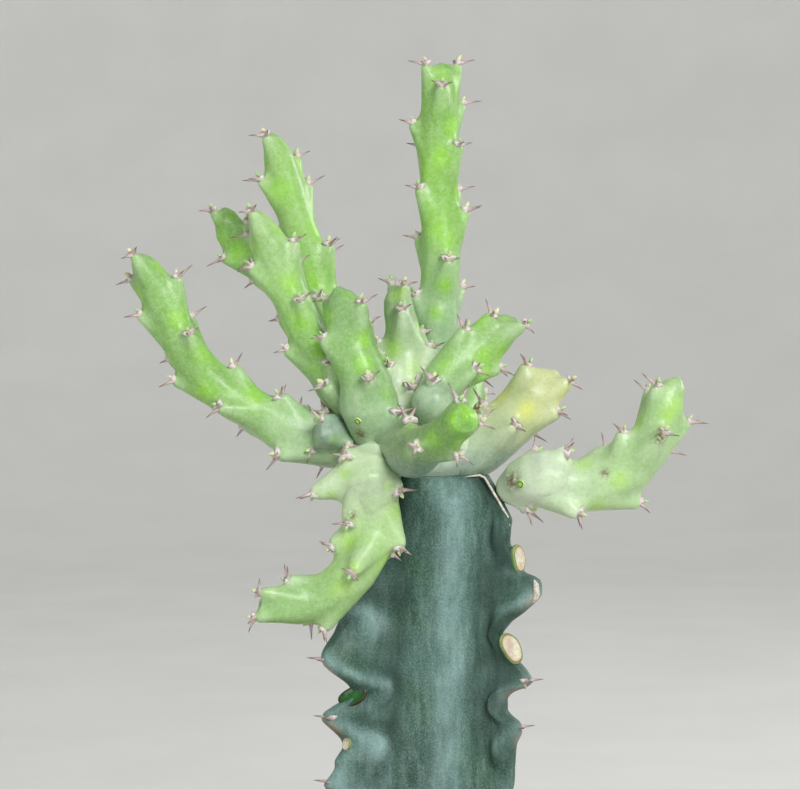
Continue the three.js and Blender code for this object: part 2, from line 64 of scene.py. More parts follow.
# Stems: the middle line as (x, y, z, radius) from foot to tip, and each tooth as (distance from the
# foot, turn from the front), with its reach where it is low. "facing" is the way a turn of 0 points
# when that isn't to the front, "large" is one large tooth, and a "bare" stem has no more teeth.
STEMS = {
    "stem_centre": {
        "axis": [
            (-1, -2, 185, 4), (-0.5, -1, 190.5, 4.8), (-0.5, 0, 195.5, 4), (-1, 0, 201, 3.4),
            (-2, 0, 205, 2.9), (-2, 0, 208, 1.8),
        ],
        "teeth": [(3, 15), (7, -35), (11.5, 85), (13, -90), (19.5, 10), (23, -160), (23, 25)],
    },
    "stem_tall": {
        "axis": [
            (6, 8, 196, 3.6), (6, 8, 201, 4.4), (6.5, 9, 207.5, 4), (7, 9, 215.5, 3.9),
            (6.5, 10, 224.5, 3.9), (6.5, 10, 234, 3.8), (6.5, 10, 243, 3.9), (7, 10, 249, 3.5),
            (7, 10, 252.5, 1.8),
        ],
        "teeth": [
            (10, -65), (12.5, 125), (18, 15), (23, -120), (27.5, 90), (32.5, -50), (41, 50),
            (45.5, -90), (50, 120), (53, 0), (56, -60), (56, 115),
        ],
    },
    "stem_left_upper": {
        "axis": [
            (-10, -2, 184.5, 4.4), (-14, 0, 189, 4.6), (-17.5, 0, 195, 4), (-20.5, 0, 200.5, 3.8),
            (-23, 0, 206, 3.8), (-25.5, 0, 211.5, 3.8), (-27.5, 0, 217, 3.8),
            (-29, 0, 220.5, 2.8), (-30, 0, 223, 1.6),
        ],
        "teeth": [
            (7.5, -20), (11.5, 15), (17.5, -85), (25, 20), (34.5, -70), (36.5, 75), (43.5, -10),
        ],
    },
    "stem_front": {
        "axis": [
            (-3, -9, 178.5, 4), (-0.5, -15, 177.3, 4.9), (1.2, -21, 177.2, 5.1),
            (3.6, -26.5, 178.9, 4.1), (6.2, -31, 181, 3.5), (8.6, -35, 183.2, 3.5),
            (10.1, -38.5, 184.7, 3.5), (10.8, -41, 185.3, 2.6),
        ],
        "teeth": [(12.5, 5), (23.5, 105), (33.5, -90, 0.9), (34.2, 0, 0.8), (28, -170)],
        "facing": (0, 0, 1),
        "bare": True,
    },
    "stem_right_upper": {
        "axis": [
            (5, -9, 184, 3.4), (5.5, -9, 187, 3.8), (7.5, -8, 190.5, 4.5), (11, -6, 194, 4.8),
            (14.5, -5, 197, 4.4), (18, -4, 199.5, 4.2), (21, -4, 201.5, 2.2),
        ],
        "teeth": [(5, -25), (11.5, 25), (16.5, -55), (17.5, 80), (22.8, -48), (25.3, 20)],
    },
    "stem_right_long": {
        "axis": [
            (21, -7, 169, 3.7), (23.8, -9, 170.6, 5.3), (27.5, -10, 171, 6),
            (32, -10, 169.5, 5.5), (37.5, -10, 170, 5.3), (43, -10, 172, 4.9),
            (47, -10, 176.5, 4.5), (49.5, -10, 181.5, 4.3), (51, -10, 186, 4.1),
            (53, -10, 190, 2.2),
        ],
        "teeth": [
            (1.5, 70), (9, -70), (14, 45), (23, -110), (23.5, 85), (31, -80), (35, 10),
            (38, 105), (42.5, -50), (46.2, 30),
        ],
    },
    "stem_low_left": {
        "axis": [
            (-5, -7, 173.5, 4.8), (-7, -14, 173.5, 5.3), (-7.5, -17, 170.5, 5.9),
            (-6.5, -17, 165, 5.2), (-6.5, -18, 161, 5), (-8.5, -19, 157, 4.9),
            (-11, -20, 153, 4.8), (-15.5, -20, 149.5, 4.6), (-20.5, -21, 147.5, 4.2),
            (-25, -22, 147.5, 3.5), (-28, -22, 148, 1.7),
        ],
        "teeth": [
            (9.5, 50), (13.5, -55), (20.5, 55), (22.5, -60), (27.5, 90), (30.5, 5), (40, -85),
            (45.5, 85), (49.3, 40), (49.3, -50),
        ],
        "large": (12.2, 90),
    },
    "stem_left_long": {
        "axis": [
            (-10, -1, 176.5, 4.8), (-17.5, -3, 178, 5.2), (-23.5, -4, 180, 5),
            (-29, -4, 183.5, 4.2), (-35, -4, 186.5, 4), (-40, -4, 191, 4), (-44.5, -4, 197, 3.9),
            (-47, -4, 202.5, 3.8), (-49.5, -4, 208, 3.7), (-52, -4, 212.5, 2.8),
            (-53.5, -4, 214.5, 1.6),
        ],
        "teeth": [
            (14.5, -50), (19.5, 65), (28.5, -25), (31.5, 90), (37.5, -85), (43.5, 30),
            (46.5, 140), (51, -85), (54.5, 75), (58.5, -125), (61, 0),
        ],
    },
    "stem_left_front": {
        "axis": [
            (-7, -7, 180.5, 4.6), (-7.5, -8, 185.5, 6.3), (-8.5, -7, 190.5, 4.9),
            (-10.5, -6, 195.5, 4.6), (-11.5, -5, 200, 4.4), (-12.5, -5, 204.5, 4.1),
            (-13.5, -5, 207.5, 2.4),
        ],
        "teeth": [(4, 50), (9, 10), (20, -65), (21.5, 140), (25.5, 45), (27, -140)],
    },
    "stem_yellow": {
        "axis": [
            (11, -2, 173.5, 4.4), (14, -1, 175.5, 5.2), (18.5, 0, 179.5, 5.4),
            (22.5, 0, 183.5, 5.4), (26, 0, 187.5, 5), (29, 0, 190.5, 2.8),
        ],
        "teeth": [(11.5, -75), (13.5, 5), (21, 60), (23, -75), (25.1, 40)],
    },
    "stem_knob": {
        "axis": [
            (-11, 1, 181, 3), (-14, -5, 180, 3.5), (-15.6, -9, 179.8, 3.3),
            (-16.4, -11.6, 179.8, 1.8),
        ],
        "teeth": [(13.6, 5), (11, 130), (11, -120)],
        "facing": (0, 0, 1),
    },
    "stem_back_left": {
        "axis": [
            (-4.5, 8, 188.5, 3.6), (-11, 14, 196, 4.1), (-17, 17, 204.5, 3.9),
            (-19.5, 18, 213, 3.8), (-22.5, 18, 221, 3.6), (-25, 18, 229.5, 3.6),
            (-26.5, 18, 235, 3.1), (-27.5, 18, 238.5, 1.6),
        ],
        "teeth": [
            (23.5, -5), (33.5, 65), (40, -145), (47, 120), (50.5, -70), (53, 130), (57.5, -20),
        ],
    },
    "stem_far_back": {
        "axis": [
            (-7, 12, 188, 3.4), (-11.5, 20, 192.5, 3.7), (-18, 28, 199.5, 3.7),
            (-24.5, 32, 206.5, 3.8), (-30.5, 34, 212, 3.6), (-35, 34, 216, 3.5),
            (-37, 33, 219.5, 3.5), (-38, 33, 223, 1.9),
        ],
        "teeth": [(43, -15), (48, -60), (52, 60), (54.8, -40)],
    },
    "stem_rear_right": {
        "axis": [
            (5, 7, 178, 3.4), (8, 17, 179.5, 4.1), (11, 26, 181.5, 4), (12.5, 33, 185.5, 3.8),
            (13, 37, 189, 3.6), (13, 38, 191.5, 2.1),
        ],
        "teeth": [(34, 0), (36, 180)],
    },
    "stem_rear_low": {
        "axis": [
            (3.5, 6, 175.5, 3), (5, 18, 173, 4.5), (6.5, 28, 167.5, 5), (7.5, 34, 161.5, 4.6),
            (6, 37, 155.5, 4.2), (4.5, 37, 152.5, 2.8),
        ],
        "teeth": [(40, 90), (41, -90)],
    },
}

# The large tooth that stands out from the hanging stem.
LARGE_REACH = 5.6
LARGE_LEAD = 3
LARGE_ROOT = 1

# Skin colours of each stem from foot over middle to tip.
SKINS = {
    "stem_centre": ("#d3e2c2", "#b0c99c", "#88ab75"),
    "stem_tall": ("#93b98a", "#85bf4a", "#80b54f"),
    "stem_left_upper": ("#7fa862", "#91c667", "#98c076"),
    "stem_front": ("#8ba883", "#7a9a62", "#72b23f"),
    "stem_right_upper": ("#93bb82", "#88ba60", "#88b167"),
    "stem_right_long": ("#d3e6c8", "#accd95", "#95bf7a"),
    "stem_low_left": ("#c6dab6", "#a1c97e", "#8bbb6c"),
    "stem_left_long": ("#a8caa0", "#83b853", "#84b65e"),
    "stem_left_front": ("#8db185", "#84b85f", "#80af64"),
    "stem_yellow": ("#aec3a4", "#bfcca0", "#c8ce92"),
    "stem_knob": ("#93b0a2", "#8ca89a", "#89a291"),
    "stem_back_left": ("#8fbd6c", "#95cb61", "#92c068"),
    "stem_far_back": ("#86b85c", "#83c047", "#7cb549"),
    "stem_rear_right": ("#9abf86", "#8bbe60", "#87b661"),
    "stem_rear_low": ("#b3cfa2", "#96c275", "#89b865"),
}

# Stems whose first part ends in a crease over the next: (end of the first, start of the next).
CREASED = {
    "stem_right_long": (9.5, 7),
    "stem_low_left": (16, 12.5),
}

# Swollen foot of the middle stem: (x, y, z, radius).
FOOT_BALLS = [(4, 0, 176.5, 9.8), (-1.5, 0, 185, 7.2), (6.5, 2, 190, 6.6), (-8, 1, 182, 5.6)]

# A side shoot that is still a ball in front of the upper right stem: (x, y, z, radius).
SIDE_BALL = {"stem_right_upper": (5.0, -11.2, 186.3, 4.1)}
SIDE_BALL_TINT = "#80a07e"

# The old skin at the graft is dull blue-green below the first height and clears to the second.
GRAFTED = ("stem_centre", "stem_yellow", "stem_front")
GRAFT_TINT = "#6d8a82"
GRAFT_HEIGHTS = (173.5, 178.5)

# What is seen on the skins of some stems, by pixels of the photograph: (column, row, size in mm).
EYES = {
    "stem_left_front": [(358, 421, 0.75)],
    "stem_right_long": [(521, 484, 0.85)],
    "stem_low_left": [(347, 457, 0.6)],
}
STAINS = {
    "stem_yellow": [(478, 408, 2.2), (470, 425, 1.4)],
    "stem_right_long": [(512, 481, 1.9), (605, 473, 0.9), (660, 438, 1.3)],
    "stem_left_front": [(360, 434, 1.2), (368, 379, 1.0)],
    "stem_low_left": [(352, 515, 0.9)],
}
# Bright yellow-green patches: thin skin over the flesh, and painted light where light falls
# brightest, as on the glossy tip of the front stem.
WINDOWS_AND_LIGHT_SPOTS = {
    "stem_tall": [(445, 285, 2.0), (436, 312, 1.7), (437, 232, 2.2), (440, 158, 2.2)],
    "stem_left_front": [(364, 340, 1.9)],
    "stem_left_upper": [(300, 322, 2.4), (318, 352, 1.8)],
    "stem_right_upper": [(484, 373, 1.8), (500, 352, 2.2)],
    "stem_front": [(452, 422, 2.0), (468, 412, 2.2)],
    "stem_low_left": [
        (345, 474, 1.2), (331, 495, 1.1), (391, 468, 1.0), (388, 486, 0.8), (352, 570, 2.4),
    ],
    "stem_left_long": [(205, 350, 2.6), (255, 395, 2.4)],
    "stem_back_left": [(280, 190, 2.4)],
    "stem_right_long": [(675, 405, 2.2), (620, 480, 2.0)],
}

# How finely a stem is drawn: samples between two knots, sides, and the gap between its rings.
STEM_SAMPLES = 40
STEM_SIDES = 16
TUBE_STEP = 2.2

# Teeth: how far below its point the slope of one starts, its reach past the stem and its width at
# the root. A tooth near the tip is lifted. The tip is a flat dome, the other ends are fuller, and
# the part after a crease is slimmer.
TOOTH_LEAD = 8
TOOTH_REACH = 1.8
TOOTH_ROOT = 0.95
TIP_LIFT_FROM = 2.5
TIP_LIFT = 0.8
TIP_DOME = 0.62
END_DOME = 0.97
AFTER_CREASE = 0.94

# The rule for the pairs of teeth that the photograph doesn't show.
PAIR_STEP = 9
PAIR_FIRST = 5
PAIR_LAST_FROM_TIP = 3
PAIR_CLEAR = 5.2

# Painting of a stem: the thin window above each tooth, the wax round its point, where along the
# stem the three tints lie and its old skin fades out, and how the nearest sample is looked for.
WINDOW_ABOVE = 3.6
WINDOW_HALF_HEIGHT = 2.2
WINDOW_HALF_WIDTH = 2.0
WINDOW_DEPTHS = (-4.5, -2.0)
WAX_HEIGHTS = (0.2, 1.8)
WAX_REACH = 2.2
TINTS_AT = (0.05, 0.45, 0.95)
OLD_SKIN = (0.05, 0.5)
EVERY_SAMPLE = 4
BATCH = 2000

# Shields and spines: size, gap, spread and lift, the same for those of the rootstock, and the
# seeds of their draws and of the buds'.
SHIELD_SMALLEST = 0.85
SHIELD_GROWTH = 0.6
SHIELD_CHANCE = 0.25
SHIELD_LEAN = 0.35
SPINE_SHORTEST = 2
SPINE_LONGEST = 3.8
SPINE_GAP = 0.42
SPINE_SPREAD = 0.62
SPINE_LIFT = 0.3
STOCK_SPINE_GAP = 0.4
STOCK_SPINE_SPREAD = 0.7
STOCK_SPINE_LIFT = 0.15
STOCK_SPINE_GIRTH = 1.1
DRAW_STEP = 101
BUD_SEED = 5

# Rootstock: each wing's bearing from the viewer towards +X, the furrows before and after it as
# (turned from it, reach), the rib after it likewise, its margin as (height, reach) and its teeth.
STOCK_X = 4.2
STOCK_TOP = 171.5
WINGS = [
    {
        "bearing": 60,
        "lobes": 15.5,
        "furrows": ((9, 14.4), (27, 11.5)),
        "rib": (60, 12.9),
        "margin": [
            (47, 10), (76, 16), (82, 18), (90, 17), (97.5, 22.5), (103, 17.5), (109.7, 19),
            (115.5, 19.2), (118.5, 19.9), (120.6, 21.2), (122.6, 21.2), (123.6, 19), (124.6, 17.6),
            (127.2, 17.2), (128.5, 18.6), (129.5, 21.7), (130.8, 23.2), (132.3, 22.4),
            (134.6, 20.2), (136.9, 19), (139, 17.6), (140.2, 17.1), (142.7, 19.2), (145.1, 21.9),
            (146.8, 23.9), (147.8, 24.8), (151, 24.6), (151.7, 23.7), (152, 21.5), (153, 20.5),
            (155, 20), (158.7, 18.6), (162.9, 18.9), (166.7, 16.3), (171.5, 13),
        ],
        "teeth": [97.5, 121.6, 131, 149.4],
    },
    {
        "bearing": 180,
        "lobes": 12,
        "furrows": ((27, 11.5), (27, 11.5)),
        "rib": (60, 12.9),
        "margin": [
            (47, 10), (76, 16), (84, 18), (90, 22.5), (94, 17.5), (101, 23), (106, 17.5),
            (114, 23.4), (118, 18), (126, 24), (131, 18), (139, 23.5), (143, 18),
            (152, 23.5), (156, 19), (163, 18.2), (171.5, 12.8),
        ],
        "teeth": [90, 101, 114, 126, 139, 152],
    },
    {
        "bearing": -60,
        "lobes": 9.5,
        "furrows": ((27, 11.5), (29, 11.3)),
        "rib": (76, 13.4),
        "margin": [
            (47, 10), (76, 16), (84, 18.5), (90, 17.5), (97.5, 23.5), (103, 18), (110.3, 23.5),
            (112.3, 21.7), (113.6, 20.8), (114.9, 21.2), (116, 20.3), (117.5, 18.8), (119, 19.2),
            (121.4, 21.7), (123, 23.2), (124.5, 22.9), (125.3, 21.5), (126.6, 18.6), (128.5, 16.9),
            (129.8, 18.1), (131.1, 20.1), (132.7, 22.4), (134, 23.9), (135.4, 24.5), (137, 23.9),
            (140.2, 20.5), (143, 19), (148.4, 23.6), (155, 18.8), (163, 18.2), (171.5, 12.8),
        ],
        "teeth": [97.5, 110.8, 123.7, 135.4, 148.4],
    },
]

# Outline of the rootstock: the reach below which a wing is slimmer, half the thickness of its edge,
# the height and length of its ruffles, and the places drawn between two knots.
FULL_WING = 15.8
HALF_EDGE = 1.1
RUFFLE = 0.9
RUFFLE_LENGTH = 3.1
SPAN_PLACES = 6
CORD_SIDES = 8
CUT_SIDES = 24

# Healed cuts on the wings: (bearing, reach, height, bearing it faces, turned up, half width, half
# height, tilt). The wet one is glassy green.
CUTS = {
    "healed_cut_upper": (60, 20.6, 155.2, 48, 5, 1.7, 2.9, -8),
    "healed_cut_lower": (57, 19.6, 137.4, 28, 14, 2.0, 3.4, -26),
    "healed_cut_small": (-58, 19.0, 118.2, -38, 0, 1.0, 1.5, 20),
    "healed_cut_last": (-59, 20.6, 113.9, -45, 10, 0.9, 1.2, 10),
    "wet_scar_left": (-58, 17.8, 127.6, -26, 22, 3.1, 1.9, -30),
}

# Cork on the edge of the right wing: the cut edge above, the lip of one tooth below, and how thick.
EDGE_HEIGHTS = (160.8, 162, 163.5, 165, 167, 169, 171)
EDGE_TOP_BEARINGS = (54, 46, 36)
EDGE_TOP_REACH = 12.6
EDGE_CORK = 0.26
LIP_HEIGHTS = (146.6, 147.4, 148.3, 149.4, 150.4, 151.3)
LIP_CORK = 0.62

# Clay pot and the soil in it.
POT_BASE_RADIUS = 34
POT_RIM_RADIUS = 52.5
POT_HEIGHT = 92
POT_RIM_BAND = 22
POT_RIM_STEP = 3
POT_WALL = 5
POT_FLOOR = 5
POT_DRAIN_RADIUS = 6
SOIL_TOP = 82
SOIL_CROWN = 1.5
SOIL_SIDES = 96
GRIT_SEED = 11
GRIT_FORMS = 5
GRIT_FROM_STOCK = 13

# Bowl of studio paper, by its radius: the bend, the height, and the height above which a face is
# the lid that comes off. Then the strength of the light from all round.
PAPER_CURVE = 0.35
PAPER_RISE = 1.1
PAPER_TOP = 1.05
PAPER_SIDES = 96
AIR_STRENGTH = 0.18

# Sockets of the node that mixes two colours.
MIX_FACTOR, MIX_A, MIX_B, MIX_OUT = 0, 6, 7, 2


def linear(code):
    """An sRGB hex colour as the linear red, green and blue that Blender works in."""
    shares = [int(code[i : i + 2], 16) / 255 for i in (1, 3, 5)]
    return tuple(s / 12.92 if s <= 0.04045 else ((s + 0.055) / 1.055) ** 2.4 for s in shares)


def rgba(colour):
    """A hex colour, or one that is linear already, with its alpha."""
    return (*(linear(colour) if isinstance(colour, str) else colour), 1)


def eased(value, low, high):
    """0 below low, 1 above high, and a soft step between."""
    share = np.clip((np.asarray(value, float) - low) / (high - low), 0, 1)
    return share * share * (3 - 2 * share)


def bent_through(p0, p1, p2, p3, t):
    """The place a share t of the way from the second to the third of four knots, on a curve."""
    lean, next_lean = (p2 - p0) / 2, (p3 - p1) / 2
    place = (2 * t**3 - 3 * t**2 + 1) * p1 + (t**3 - 2 * t**2 + t) * lean
    place += (3 * t**2 - 2 * t**3) * p2 + (t**3 - t**2) * next_lean
    return place


def turns_of(sides):
    """The turns of a ring's places, in radians."""
    return [math.tau * s / sides for s in range(sides)]


def hoop(radius, z, sides, flatness=1, lean=(0, 0)):
    """A level ring of places round an axis that may lean."""
    x, y = lean
    wide, deep = radius, flatness * radius
    return [(wide * math.cos(t) + x, deep * math.sin(t) + y, z) for t in turns_of(sides)]


def draws(seed):
    """The repeatable draw of numbers from 0 to 1 that the solids were made with."""
    state = seed
    while True:
        state = (state * 1664525 + 1013904223) % 4294967296
        yield state / 4294967296


# Shaping


def alone(piece):
    bpy.ops.object.select_all(action="DESELECT")
    piece.select_set(True)
    bpy.context.view_layer.objects.active = piece


def with_modifier(piece, kind, **settings):
    alone(piece)
    modifier = piece.modifiers.new(kind.title(), kind)
    for key, value in settings.items():
        setattr(modifier, key, value)
    bpy.ops.object.modifier_apply(modifier=modifier.name)


def drawn_out(name, rings):
    """A flat disc drawn out ring by ring; each ring is a list of places in millimetres."""
    bpy.ops.object.select_all(action="DESELECT")
    bpy.ops.mesh.primitive_circle_add(
        vertices=len(rings[0]), radius=MM, location=(0, 0, 0), fill_type="NGON"
    )
    piece = bpy.context.object
    piece.name = piece.data.name = name
    bpy.ops.object.mode_set(mode="EDIT")
    for level, ring in enumerate(rings):
        if level:
            bpy.ops.mesh.extrude_region_move()
        mesh = bmesh.from_edit_mesh(piece.data)
        chosen = [corner for corner in mesh.verts if corner.select]
        for corner, place in zip(chosen, ring):
            corner.co = Vector(place) * MM
        bmesh.update_edit_mesh(piece.data)
    bpy.ops.mesh.select_all(action="SELECT")
    bpy.ops.mesh.normals_make_consistent(inside=False)
    bpy.ops.object.mode_set(mode="OBJECT")
    return piece


def ball(name, place, radius, rings=16):
    bpy.ops.object.select_all(action="DESELECT")
    bpy.ops.mesh.primitive_uv_sphere_add(
        segments=2 * rings, ring_count=rings, radius=radius * MM, location=Vector(place) * MM
    )
    piece = bpy.context.object
    piece.name = piece.data.name = name
    bpy.ops.object.transform_apply(location=True, rotation=True, scale=True)
    return piece


def joined(name, pieces):
    bpy.ops.object.select_all(action="DESELECT")
    for piece in pieces:
        piece.select_set(True)
    bpy.context.view_layer.objects.active = pieces[0]
    if len(pieces) > 1:
        bpy.ops.object.join()
    whole = pieces[0]
    whole.name = whole.data.name = name
    return whole


def copy_of(unit, matrix):
    """A copy with its own mesh, laid where the matrix says."""
    copy = unit.copy()
    copy.data = unit.data.copy()
    copy.data.transform(matrix)
    bpy.context.scene.collection.objects.link(copy)
    return copy


def discarded(pieces):
    for piece in pieces:
        mesh = piece.data
        bpy.data.objects.remove(piece)
        bpy.data.meshes.remove(mesh)


def laid(place, x, y, z, size=(1, 1, 1)):
    """The matrix that lays a unit at a place in millimetres, with its axes and sizes."""
    matrix = Matrix.Identity(4)
    for column, (axis, scale) in enumerate(zip((x, y, z), size)):
        matrix.col[column] = (*(axis * scale), 0)
    matrix.col[3] = (*(Vector(place) * MM), 1)
    return matrix


def grown_together(piece, grain, fillet, softening):
    """Fuses what was joined into one skin, fills the notches and softens it, as flesh grows."""
    with_modifier(piece, "REMESH", mode="VOXEL", voxel_size=grain)
    with_modifier(piece, "SMOOTH", factor=0.5, iterations=2)
    with_modifier(piece, "DISPLACE", strength=fillet, mid_level=0)
    with_modifier(piece, "REMESH", mode="VOXEL", voxel_size=grain)
    with_modifier(piece, "SMOOTH", factor=0.5, iterations=2)
    with_modifier(piece, "DISPLACE", strength=-fillet, mid_level=0)
    with_modifier(piece, "SMOOTH", factor=0.5, iterations=softening)


def places_of(piece):
    """The places of a piece's corners in millimetres."""
    places = np.zeros(len(piece.data.vertices) * 3, np.float32)
    piece.data.vertices.foreach_get("co", places)
    return places.reshape(-1, 3).astype(float) / MM


def painted(piece, **layers):
    """Lays values on a piece's corners: a number each, or a colour each."""
    for layer, values in layers.items():
        values = np.asarray(values, np.float32)
        colour = values.ndim == 2
        if colour:
            values = np.column_stack([values, np.ones(len(values), np.float32)])
        kind = "FLOAT_COLOR" if colour else "FLOAT"
        attribute = piece.data.attributes.new(layer, kind, "POINT")
        attribute.data.foreach_set("color" if colour else "value", values.ravel())


def dressed(piece, material, slot, *replaced, smooth=True):
    """Gives a finished piece its material and its place in the part."""
    alone(piece)
    if smooth:
        bpy.ops.object.shade_smooth()
    piece.data.materials.clear()
    piece.data.materials.append(material)
    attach(piece, "root")
    if replaced:
        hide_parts(*replaced)
    return piece


# Materials


def add_node(tree, kind, links=None, out=0, **settings):
    """Adds a node and gives the output asked for. Each socket in links takes a value, or the
    output that feeds it."""
    made = tree.nodes.new(kind)
    for key, value in settings.items():
        setattr(made, key, value)
    for socket, value in (links or {}).items():
        if isinstance(value, bpy.types.NodeSocket):
            tree.links.new(value, made.inputs[socket])
        else:
            made.inputs[socket].default_value = value
    return made.outputs[out]


def mask_of(tree, spec):
    """How far a coat shows: a painted layer by its name, the same stepped between two values, or
    a cloud (patches so many millimetres across, detail, low, high, and how far drawn upwards)."""
    if isinstance(spec, str):
        return add_node(tree, "ShaderNodeAttribute", out="Fac", attribute_name=spec)
    if isinstance(spec[0], str):
        layer, low, high = spec
        field = mask_of(tree, layer)
    else:
        size, detail, low, high, *drawn = spec
        place = add_node(tree, "ShaderNodeTexCoord", out="Object")
        if drawn:
            links = {"Vector": place, "Scale": (1, 1, 1 / drawn[0])}
            place = add_node(tree, "ShaderNodeMapping", links)
        links = {"Vector": place, "Scale": 1 / (size * MM), "Detail": detail}
        field = add_node(tree, "ShaderNodeTexNoise", links, out="Fac")
    return add_node(tree, "ShaderNodeMapRange", {0: field, 1: low, 2: high})


def finish(name, ground, coats, relief, depth, **surface):
    """A material made as a painter does: coats of colour over a ground, each let through by its
    strength and its masks, and a fine relief of so many millimetres. The ground is a colour, or
    the tint painted on the piece."""
    material = bpy.data.materials.new(name)
    material.use_nodes = True
    tree = material.node_tree
    shader = tree.nodes["Principled BSDF"]
    for socket, value in surface.items():
        shader.inputs[socket.replace("_", " ")].default_value = value
    if ground == "tint":
        colour = add_node(tree, "ShaderNodeAttribute", out="Color", attribute_name=ground)
    else:
        colour = rgba(ground)
    for coat, strength, *masks in coats:
        for mask in masks:
            links = {0: mask_of(tree, mask), 1: strength}
            strength = add_node(tree, "ShaderNodeMath", links, operation="MULTIPLY")
        links = {MIX_FACTOR: strength, MIX_A: colour, MIX_B: rgba(coat)}
        colour = add_node(tree, "ShaderNodeMix", links, out=MIX_OUT, data_type="RGBA")
    tree.links.new(colour, shader.inputs["Base Color"])
    height = 0
    for share, mask in relief:
        links = {0: mask_of(tree, mask), 1: share, 2: height}
        height = add_node(tree, "ShaderNodeMath", links, operation="MULTIPLY_ADD")
    links = {"Height": height, "Strength": 0.6, "Distance": depth * MM}
    bump = add_node(tree, "ShaderNodeBump", links, out="Normal")
    tree.links.new(bump, shader.inputs["Normal"])
    return material


def stem_skin(name, window, bloom):
    """Living euphorbia skin: a waxy green hide over wet flesh. The wax greys the raised and old
    parts, and the flesh shows yellow-green through the thin skin above the teeth; the same colour
    is painted as light on the brightest patches. The breathing pores are drawn 0.5 mm apart, a
    little coarser than real, so they show."""
    return finish(
        name,
        "tint",
        [
            ("#567f38", 0.3, (7, 3, 0.42, 0.72)),
            # The thin skin above the teeth, and painted light on the brightest patches, in the
            # window colour.
            (window, 0.92, "hollow"),
            (bloom, 0.62, "wax", (3.2, 2, 0.15, 0.7)),
            ("#f1f6e4", 0.14, (1.1, 3, 0.3, 0.7)),
            ("#f6faf0", 0.08, (0.5, 2, 0.5, 0.66)),
            ("#3f6b22", 0.1, (0.6, 3, 0.52, 0.68)),
            ("#6d5a3c", 1.0, "stain", (0.6, 3, 0.3, 0.55)),
        ],
        [(0.5, (1.1, 3, 0.3, 0.7)), (0.5, (0.45, 2, 0.3, 0.7))],
        0.06,
        Roughness=0.35,
        IOR=1.42,
        Subsurface_Weight=0.15,
        Subsurface_Radius=(0.6, 1.0, 0.25),
        Subsurface_Scale=0.0012,
    )


def stock_skin(ground):
    """Old skin of the rootstock: dark blue-green and matt, with a pale grey wax rubbed into fine
    grains and streaks. The grains are drawn 0.35 mm apart, a little coarser than real."""
    return finish(
        "waxy rootstock skin",
        ground,
        [
            ("#4f776d", 0.6, (7, 3, 0.35, 0.65)),
            ("#2f5a35", 0.6, (10, 2, 0.45, 0.64)),
            # Painted light: pale blue-grey on the raised middle of the face and along the ridges of
            # the wings.
            ("#84a6a3", 0.85, "pale"),
            ("#a9c4bf", 0.24, (0.35, 2, 0.44, 0.64)),
            ("#1d3329", 0.24, (0.42, 3, 0.48, 0.66)),
            ("#9cbbb5", 0.25, (1.3, 3, 0.45, 0.68, 5)),
            ("#1f362c", 0.3, (2.2, 3, 0.45, 0.7, 3)),
            # Painted shade: dark in the furrows, between the wing teeth and at the roots of the
            # wings.
            ("#233d33", 0.75, "deep"),
            ("#b9b3a2", 1.0, "cork"),
            ("#8c8066", 1.0, "cork", (0.9, 3, 0.3, 0.7)),
        ],
        [(0.5, (0.35, 2, 0.46, 0.62)), (0.5, (0.9, 3, 0.3, 0.7))],
        0.09,
        Roughness=0.55,
        IOR=1.42,
    )


def healed_cut():
    """A healed cut: cork and dried sap, cream in the dish and pink where it is thin, with a green
    living rim."""
    return finish(
        "healed sap wound",
        "#56795a",
        [
            ("#8fae62", 1.0, ("healing", 0.02, 0.2)),
            ("#6f5c40", 0.9, ("healing", 0.24, 0.36)),
            ("#d3cba6", 1.0, ("healing", 0.42, 0.6)),
            ("#dedbc4", 1.0, ("healing", 0.6, 0.85)),
            ("#b98f86", 0.6, "healing", (1.4, 2, 0.4, 0.65)),
            ("#a98f5c", 0.4, "healing", (0.5, 3, 0.45, 0.65)),
        ],
        [(1.0, (0.6, 3, 0.35, 0.65))],
        0.12,
        Roughness=0.5,
        IOR=1.45,
    )


def wet_scar():
    """A glassy scar: thin new skin over wet green flesh, nearly black at its rim."""
    return finish(
        "glassy green scar",
        "#57492c",
        [
            ("#22401c", 1.0, ("healing", 0.1, 0.4)),
            ("#2f6a2c", 1.0, ("healing", 0.4, 0.9)),
            ("#16301a", 0.4, (1.2, 2, 0.35, 0.65)),
        ],
        [(1.0, (1.2, 2, 0.35, 0.65))],
        0.05,
        Roughness=0.12,
        IOR=1.42,
    )


def cork_tissue():
    """Cork along a cut edge: dry, pale and finely cracked."""
    return finish(
        "pale plant cork",
        "#ded7cf",
        [("#a3947f", 0.7, (0.6, 3, 0.45, 0.65))],
        [(1.0, (0.6, 3, 0.4, 0.6))],
        0.1,
        Roughness=0.75,
        IOR=1.45,
    )


def eye_spot():
    """An eye spot: a glassy green dot in a dark pit with a pale swollen ring."""
    return finish(
        "euphorbia eye spot",
        "#a9cf86",
        [
            ("#cfe59a", 1.0, ("healing", 0.1, 0.35)),
            ("#35591a", 1.0, ("healing", 0.42, 0.6)),
            ("#a5d24c", 1.0, ("healing", 0.75, 0.95)),
            ("#e3efb4", 0.2, (0.4, 2, 0.35, 0.65)),
        ],
        [(1.0, (0.4, 2, 0.35, 0.65))],
        0.04,
        Roughness=0.25,
        IOR=1.42,
    )


def horn():
    """Horn of the shields and spines: pinkish grey and dry, and burnt dark red at the points."""
    return finish(
        "grey euphorbia horn",
        "#d3c5c2",
        [
            ("#b39d99", 0.8, (0.5, 2, 0.35, 0.65)),
            ("#ece6e6", 0.75, "rim"),
            ("#a98f8a", 0.6, ("point", 0.15, 0.5)),
            ("#55261f", 1.0, ("point", 0.5, 0.95)),
        ],
        [(1.0, (0.5, 2, 0.3, 0.7))],
        0.05,
        Roughness=0.5,
        IOR=1.54,
    )


